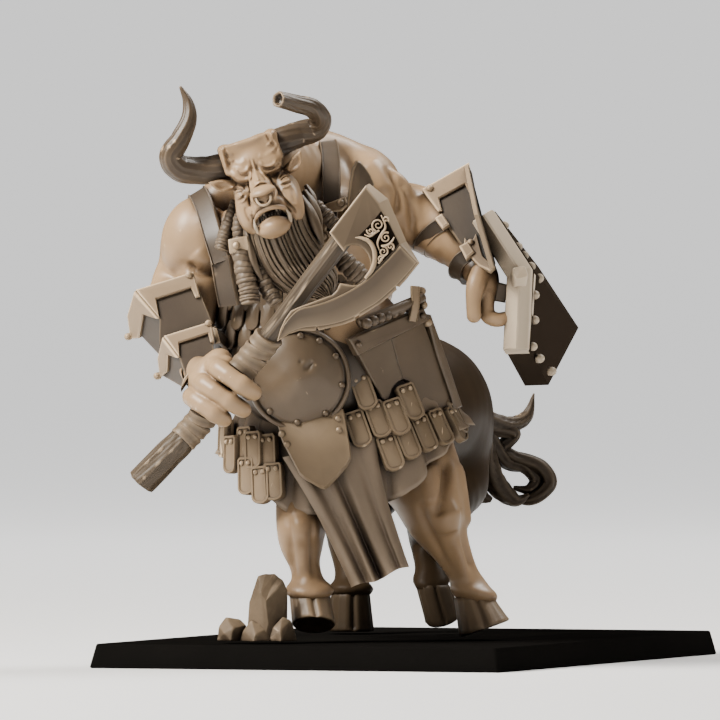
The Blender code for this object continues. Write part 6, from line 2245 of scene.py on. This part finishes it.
@dataclass
class Ground:
    """Rocks under the raised hoof, and the plain base."""

    width: float = 50.0
    length: float = 75.0
    height: float = 2.8
    slope: float = 0.6
    rock_height: float = 7.7

    def build(self) -> None:
        """Build the rocks and the base."""
        self._rocks()
        self._base()

    def _rocks(self) -> None:
        """One tall angular stone and three low ones at its foot, flat underneath."""
        batch = Batch()
        tall = self.rock_height
        for corners in (
                [(-18.4, -26.0, 0.02), (-18.4, -24.0, 0.02), (-18.2, -25.9, 2.6), (-18.1, -25.4, 4.4),
                 (-17.5, -25.2, 6.3),
                 (-17.1, -25.0, tall - 0.2), (-16.2, -25.1, tall), (-15.2, -25.0, tall), (-14.3, -24.8, 7.0),
                 (-13.7, -24.8, 5.8), (-14.05, -25.3, 4.7), (-13.8, -24.6, 3.0), (-13.8, -24.2, 0.02),
                 (-16.2, -26.9, 4.6), (-15.9, -27.4, 2.0), (-16.4, -27.6, 0.02), (-14.6, -26.8, 0.02),
                 (-16.8, -26.6, 5.6), (-16.2, -23.2, 0.02), (-15.8, -23.8, 6.0)],
                [(-21.8, -25.2, 0.02), (-21.6, -25.4, 1.7), (-20.8, -25.0, 2.75), (-19.2, -25.0, 2.5),
                 (-18.4, -25.6, 1.8),
                 (-18.2, -25.4, 0.02), (-20.0, -26.9, 1.5), (-20.2, -27.2, 0.02), (-20.4, -23.4, 1.6),
                 (-20.0, -23.0, 0.02), (-21.0, -26.6, 0.9)],
                [(-19.2, -26.4, 0.02), (-18.8, -26.6, 1.3), (-17.9, -26.6, 2.4), (-16.9, -26.9, 2.0),
                 (-16.0, -27.2, 1.5),
                 (-15.7, -27.6, 0.02), (-17.4, -28.2, 0.9), (-17.6, -28.5, 0.02), (-17.4, -25.4, 0.02)],
                [(-16.3, -27.0, 0.02), (-15.5, -27.1, 1.5), (-14.3, -26.6, 2.85), (-13.3, -26.4, 2.4),
                 (-12.75, -26.2, 0.8),
                 (-12.6, -26.2, 0.02), (-14.6, -28.0, 1.2), (-14.4, -28.3, 0.02), (-13.4, -24.8, 1.6),
                 (-13.6, -24.4, 0.02)]):
            self._stone(batch, np.array(corners))
        batch.build("rocks_surface", ROCK, Surface.CREASED, "rock_resin", "rocks")

    def _stone(self, batch: Batch, corners: np.ndarray) -> None:
        """Add a stone: the hull of its corners with eased arrises, cut fine and worn a little.

        Args:
            batch: What it is added to.
            corners: Its corners.
        """
        bm = bmesh.new()
        for corner in corners:
            bm.verts.new(corner)
        bmesh.ops.convex_hull(bm, input=bm.verts)
        loose = [v for v in bm.verts if not v.link_faces]
        bmesh.ops.delete(bm, geom=loose, context="VERTS")
        bmesh.ops.bevel(bm, geom=bm.edges[:], offset=0.09, segments=2, affect="EDGES", profile=0.5,
                        clamp_overlap=True)
        bmesh.ops.triangulate(bm, faces=bm.faces[:])
        long = [e for e in bm.edges if e.calc_length() > 0.5]
        bmesh.ops.subdivide_edges(bm, edges=long, cuts=3, use_grid_fill=True)
        bmesh.ops.triangulate(bm, faces=bm.faces[:])
        bmesh.ops.recalc_face_normals(bm, faces=bm.faces[:])
        points = np.array([v.co[:] for v in bm.verts])
        bm.verts.index_update()
        faces = np.array([[v.index for v in f.verts] for f in bm.faces])
        bm.free()
        middle = points.mean(axis=0)
        across, up = points[:, 0], points[:, 2]
        wear = 1 + 0.012 * np.sin(2.6 * across + 1.9 * up) * np.sin(3.1 * up - 2.2 * across)
        points = middle + (points - middle) * wear[:, None]
        points[:, 2] = np.maximum(points[:, 2], 0.02)
        batch.add(points, faces)

    def _base(self) -> None:
        """Plain block with sloping sides and eased arrises: rings of rounded rectangles."""
        batch = Batch()
        rings = []
        quarter = np.radians(np.linspace(0, 90, 6))
        for up, draw in ((0.0, 0.16), (0.12, 0.0), (self.height - 0.14, self.slope * 0.95),
                         (self.height - 0.04, self.slope + 0.04),
                         (self.height, self.slope + 0.16), (self.height, self.slope + 2.0),
                         (self.height, self.slope + 12.0)):
            corner = 0.45
            half = (self.width / 2 - draw - corner, self.length / 2 - draw - corner)
            ring = []
            for k, (sx, sy) in enumerate(((1, 1), (-1, 1), (-1, -1), (1, -1))):
                turn = quarter + k * math.pi / 2
                ring.append(np.column_stack([sx * half[0] + corner * np.cos(turn),
                                             sy * half[1] + corner * np.sin(turn), np.full(6, up)]))
            rings.append(np.vstack(ring))
        batch.grid(np.array(rings), poles=False)
        batch.build("base_block", BASE, Surface.CREASED, "base_plastic", "base", seated=False)


@dataclass(frozen=True)
class Studio:
    """A camera at the photograph's viewing angle, soft lights, a pale floor and backdrop, and a pale sky."""

    camera_place: tuple[float, float, float] = (0.80304, -2.17431, 0.07076)
    camera_right: tuple[float, float, float] = (0.9372554, 0.3486436, 0.0)
    camera_up: tuple[float, float, float] = (-0.0053906, 0.0144915, 0.9998805)
    camera_forward: tuple[float, float, float] = (-0.3486019, 0.9371433, -0.0154616)
    lens: float = 1000.0
    sensor: float = 36.0
    aim: tuple[float, float, float] = (0.0, 0.0, 0.036)
    near_radius: float = 0.6
    wall_radius: float = 3.2
    wall_height: float = 3.0
    wall_bend: float = 0.6
    glow: float = 0.95
    glow_from: float = 0.08
    sky_strength: float = 0.10

    def build(self) -> None:
        """Set up the camera, the lights, the floor and the sky."""
        self._camera()
        self._floor()
        self._sky()
        self._light("key_light", (-0.30, -0.30, 0.44), 0.22, 10.5, (1.0, 0.955, 0.89))
        self._light("fill_light", (0.42, -0.34, 0.16), 0.40, 0.35, (1.0, 0.98, 0.95))
        self._light("top_light", (0.16, 0.24, 0.42), 0.22, 2.8, (1.0, 0.97, 0.93))

    def _camera(self) -> None:
        """Place a long lens whose axes are the columns of its matrix."""
        data = bpy.data.cameras.new("camera")
        data.lens, data.sensor_width = self.lens, self.sensor
        data.clip_start, data.clip_end = 0.05, 50.0
        camera = bpy.data.objects.new("camera", data)
        columns = np.eye(4)
        columns[:3, 0], columns[:3, 1] = self.camera_right, self.camera_up
        columns[:3, 2], columns[:3, 3] = -np.array(self.camera_forward), self.camera_place
        camera.matrix_world = Matrix(columns.tolist())
        bpy.context.scene.collection.objects.link(camera)
        bpy.context.scene.camera = camera

    def _floor(self) -> None:
        """Lay a plain pale floor under the base, and a round backdrop that curves up far from it.

        The backdrop sends no light to the figure, which keeps the soft studio light even.
        """
        turn = 2 * math.pi * np.arange(96) / 96
        rise = np.radians(np.linspace(0, 90, 13))
        near = [(0.001, 0.0), (0.15, 0.0), (0.3, 0.0), (self.near_radius, 0.0)]
        far = [(self.near_radius, 0.0), (1.5, 0.0)]
        bend = self.wall_bend
        far += [(self.wall_radius - bend + bend * math.sin(t), bend - bend * math.cos(t)) for t in rise]
        far.append((self.wall_radius, self.wall_height))
        for name, profile in (("floor", near), ("backdrop", far)):
            points = np.array([(r * math.cos(t), r * math.sin(t), z) for r, z in profile for t in turn])
            mesh = bpy.data.meshes.new(name)
            mesh.from_pydata(points.tolist(), [], weave(len(profile), len(turn))[:, ::-1].tolist())
            mesh.shade_smooth()
            mesh.materials.append(self._pale())
            piece = bpy.data.objects.new(name, mesh)
            bpy.context.scene.collection.objects.link(piece)
            if name == "backdrop":
                piece.visible_diffuse = False
                piece.visible_glossy = False

    def _pale(self) -> bpy.types.Material:
        """Pale matt finish that glows evenly away from the base, so that no horizon shows.

        Returns:
            The material.
        """
        pale = bpy.data.materials.get("pale_floor")
        if pale:
            return pale
        pale = bpy.data.materials.new("pale_floor")
        pale.use_nodes = True
        nodes, links = pale.node_tree.nodes, pale.node_tree.links
        shader = nodes["Principled BSDF"]
        shader.inputs["Base Color"].default_value = (0.72, 0.72, 0.72, 1.0)
        shader.inputs["Roughness"].default_value = 0.9
        shader.inputs["Specular IOR Level"].default_value = 0.1
        shader.inputs["Emission Color"].default_value = (1.0, 1.0, 1.0, 1.0)
        where = nodes.new("ShaderNodeTexCoord")
        reach = nodes.new("ShaderNodeVectorMath")
        reach.operation = "LENGTH"
        links.new(where.outputs["Object"], reach.inputs[0])
        glow = nodes.new("ShaderNodeMapRange")
        glow.interpolation_type = "SMOOTHSTEP"
        glow.inputs["From Min"].default_value = self.glow_from
        glow.inputs["From Max"].default_value = self.near_radius
        glow.inputs["To Max"].default_value = self.glow
        links.new(reach.outputs["Value"], glow.inputs["Value"])
        links.new(glow.outputs["Result"], shader.inputs["Emission Strength"])
        return pale

    def _sky(self) -> None:
        """Surround the scene with an even pale light."""
        world = bpy.data.worlds.new("sky")
        bpy.context.scene.world = world
        world.use_nodes = True
        ground = world.node_tree.nodes["Background"]
        ground.inputs["Color"].default_value = (1.0, 1.0, 1.0, 1.0)
        ground.inputs["Strength"].default_value = self.sky_strength

    def _light(self, name: str, place: Sequence[float], size: float, power: float,
               colour: tuple[float, float, float]) -> None:
        """Add a square soft light that faces the figure.

        Args:
            name: The light's name.
            place: Where it stands, in metres.
            size: Side of the square.
            power: Power in watts.
            colour: Its colour.
        """
        data = bpy.data.lights.new(name, "AREA")
        data.size, data.energy, data.color = size, power, colour
        light = bpy.data.objects.new(name, data)
        light.location = place
        forward = Vector(self.aim) - Vector(place)
        light.rotation_euler = forward.to_track_quat("-Z", "Y").to_euler()
        bpy.context.scene.collection.objects.link(light)


def main() -> None:
    """Build the figure, the rocks and the base in order, then the studio."""
    logging.basicConfig(level=logging.INFO, format="%(message)s")
    for part in (Flesh(), AXE, Head(), Horns(), Beard(), Harness(), Armour(), Skirt(), Shield(), Hooves(),
                 Tail(), Ground()):
        LOG.info("%s", type(part).__name__)
        part.build()
    Studio().build()


if __name__ == "__main__":
    main()
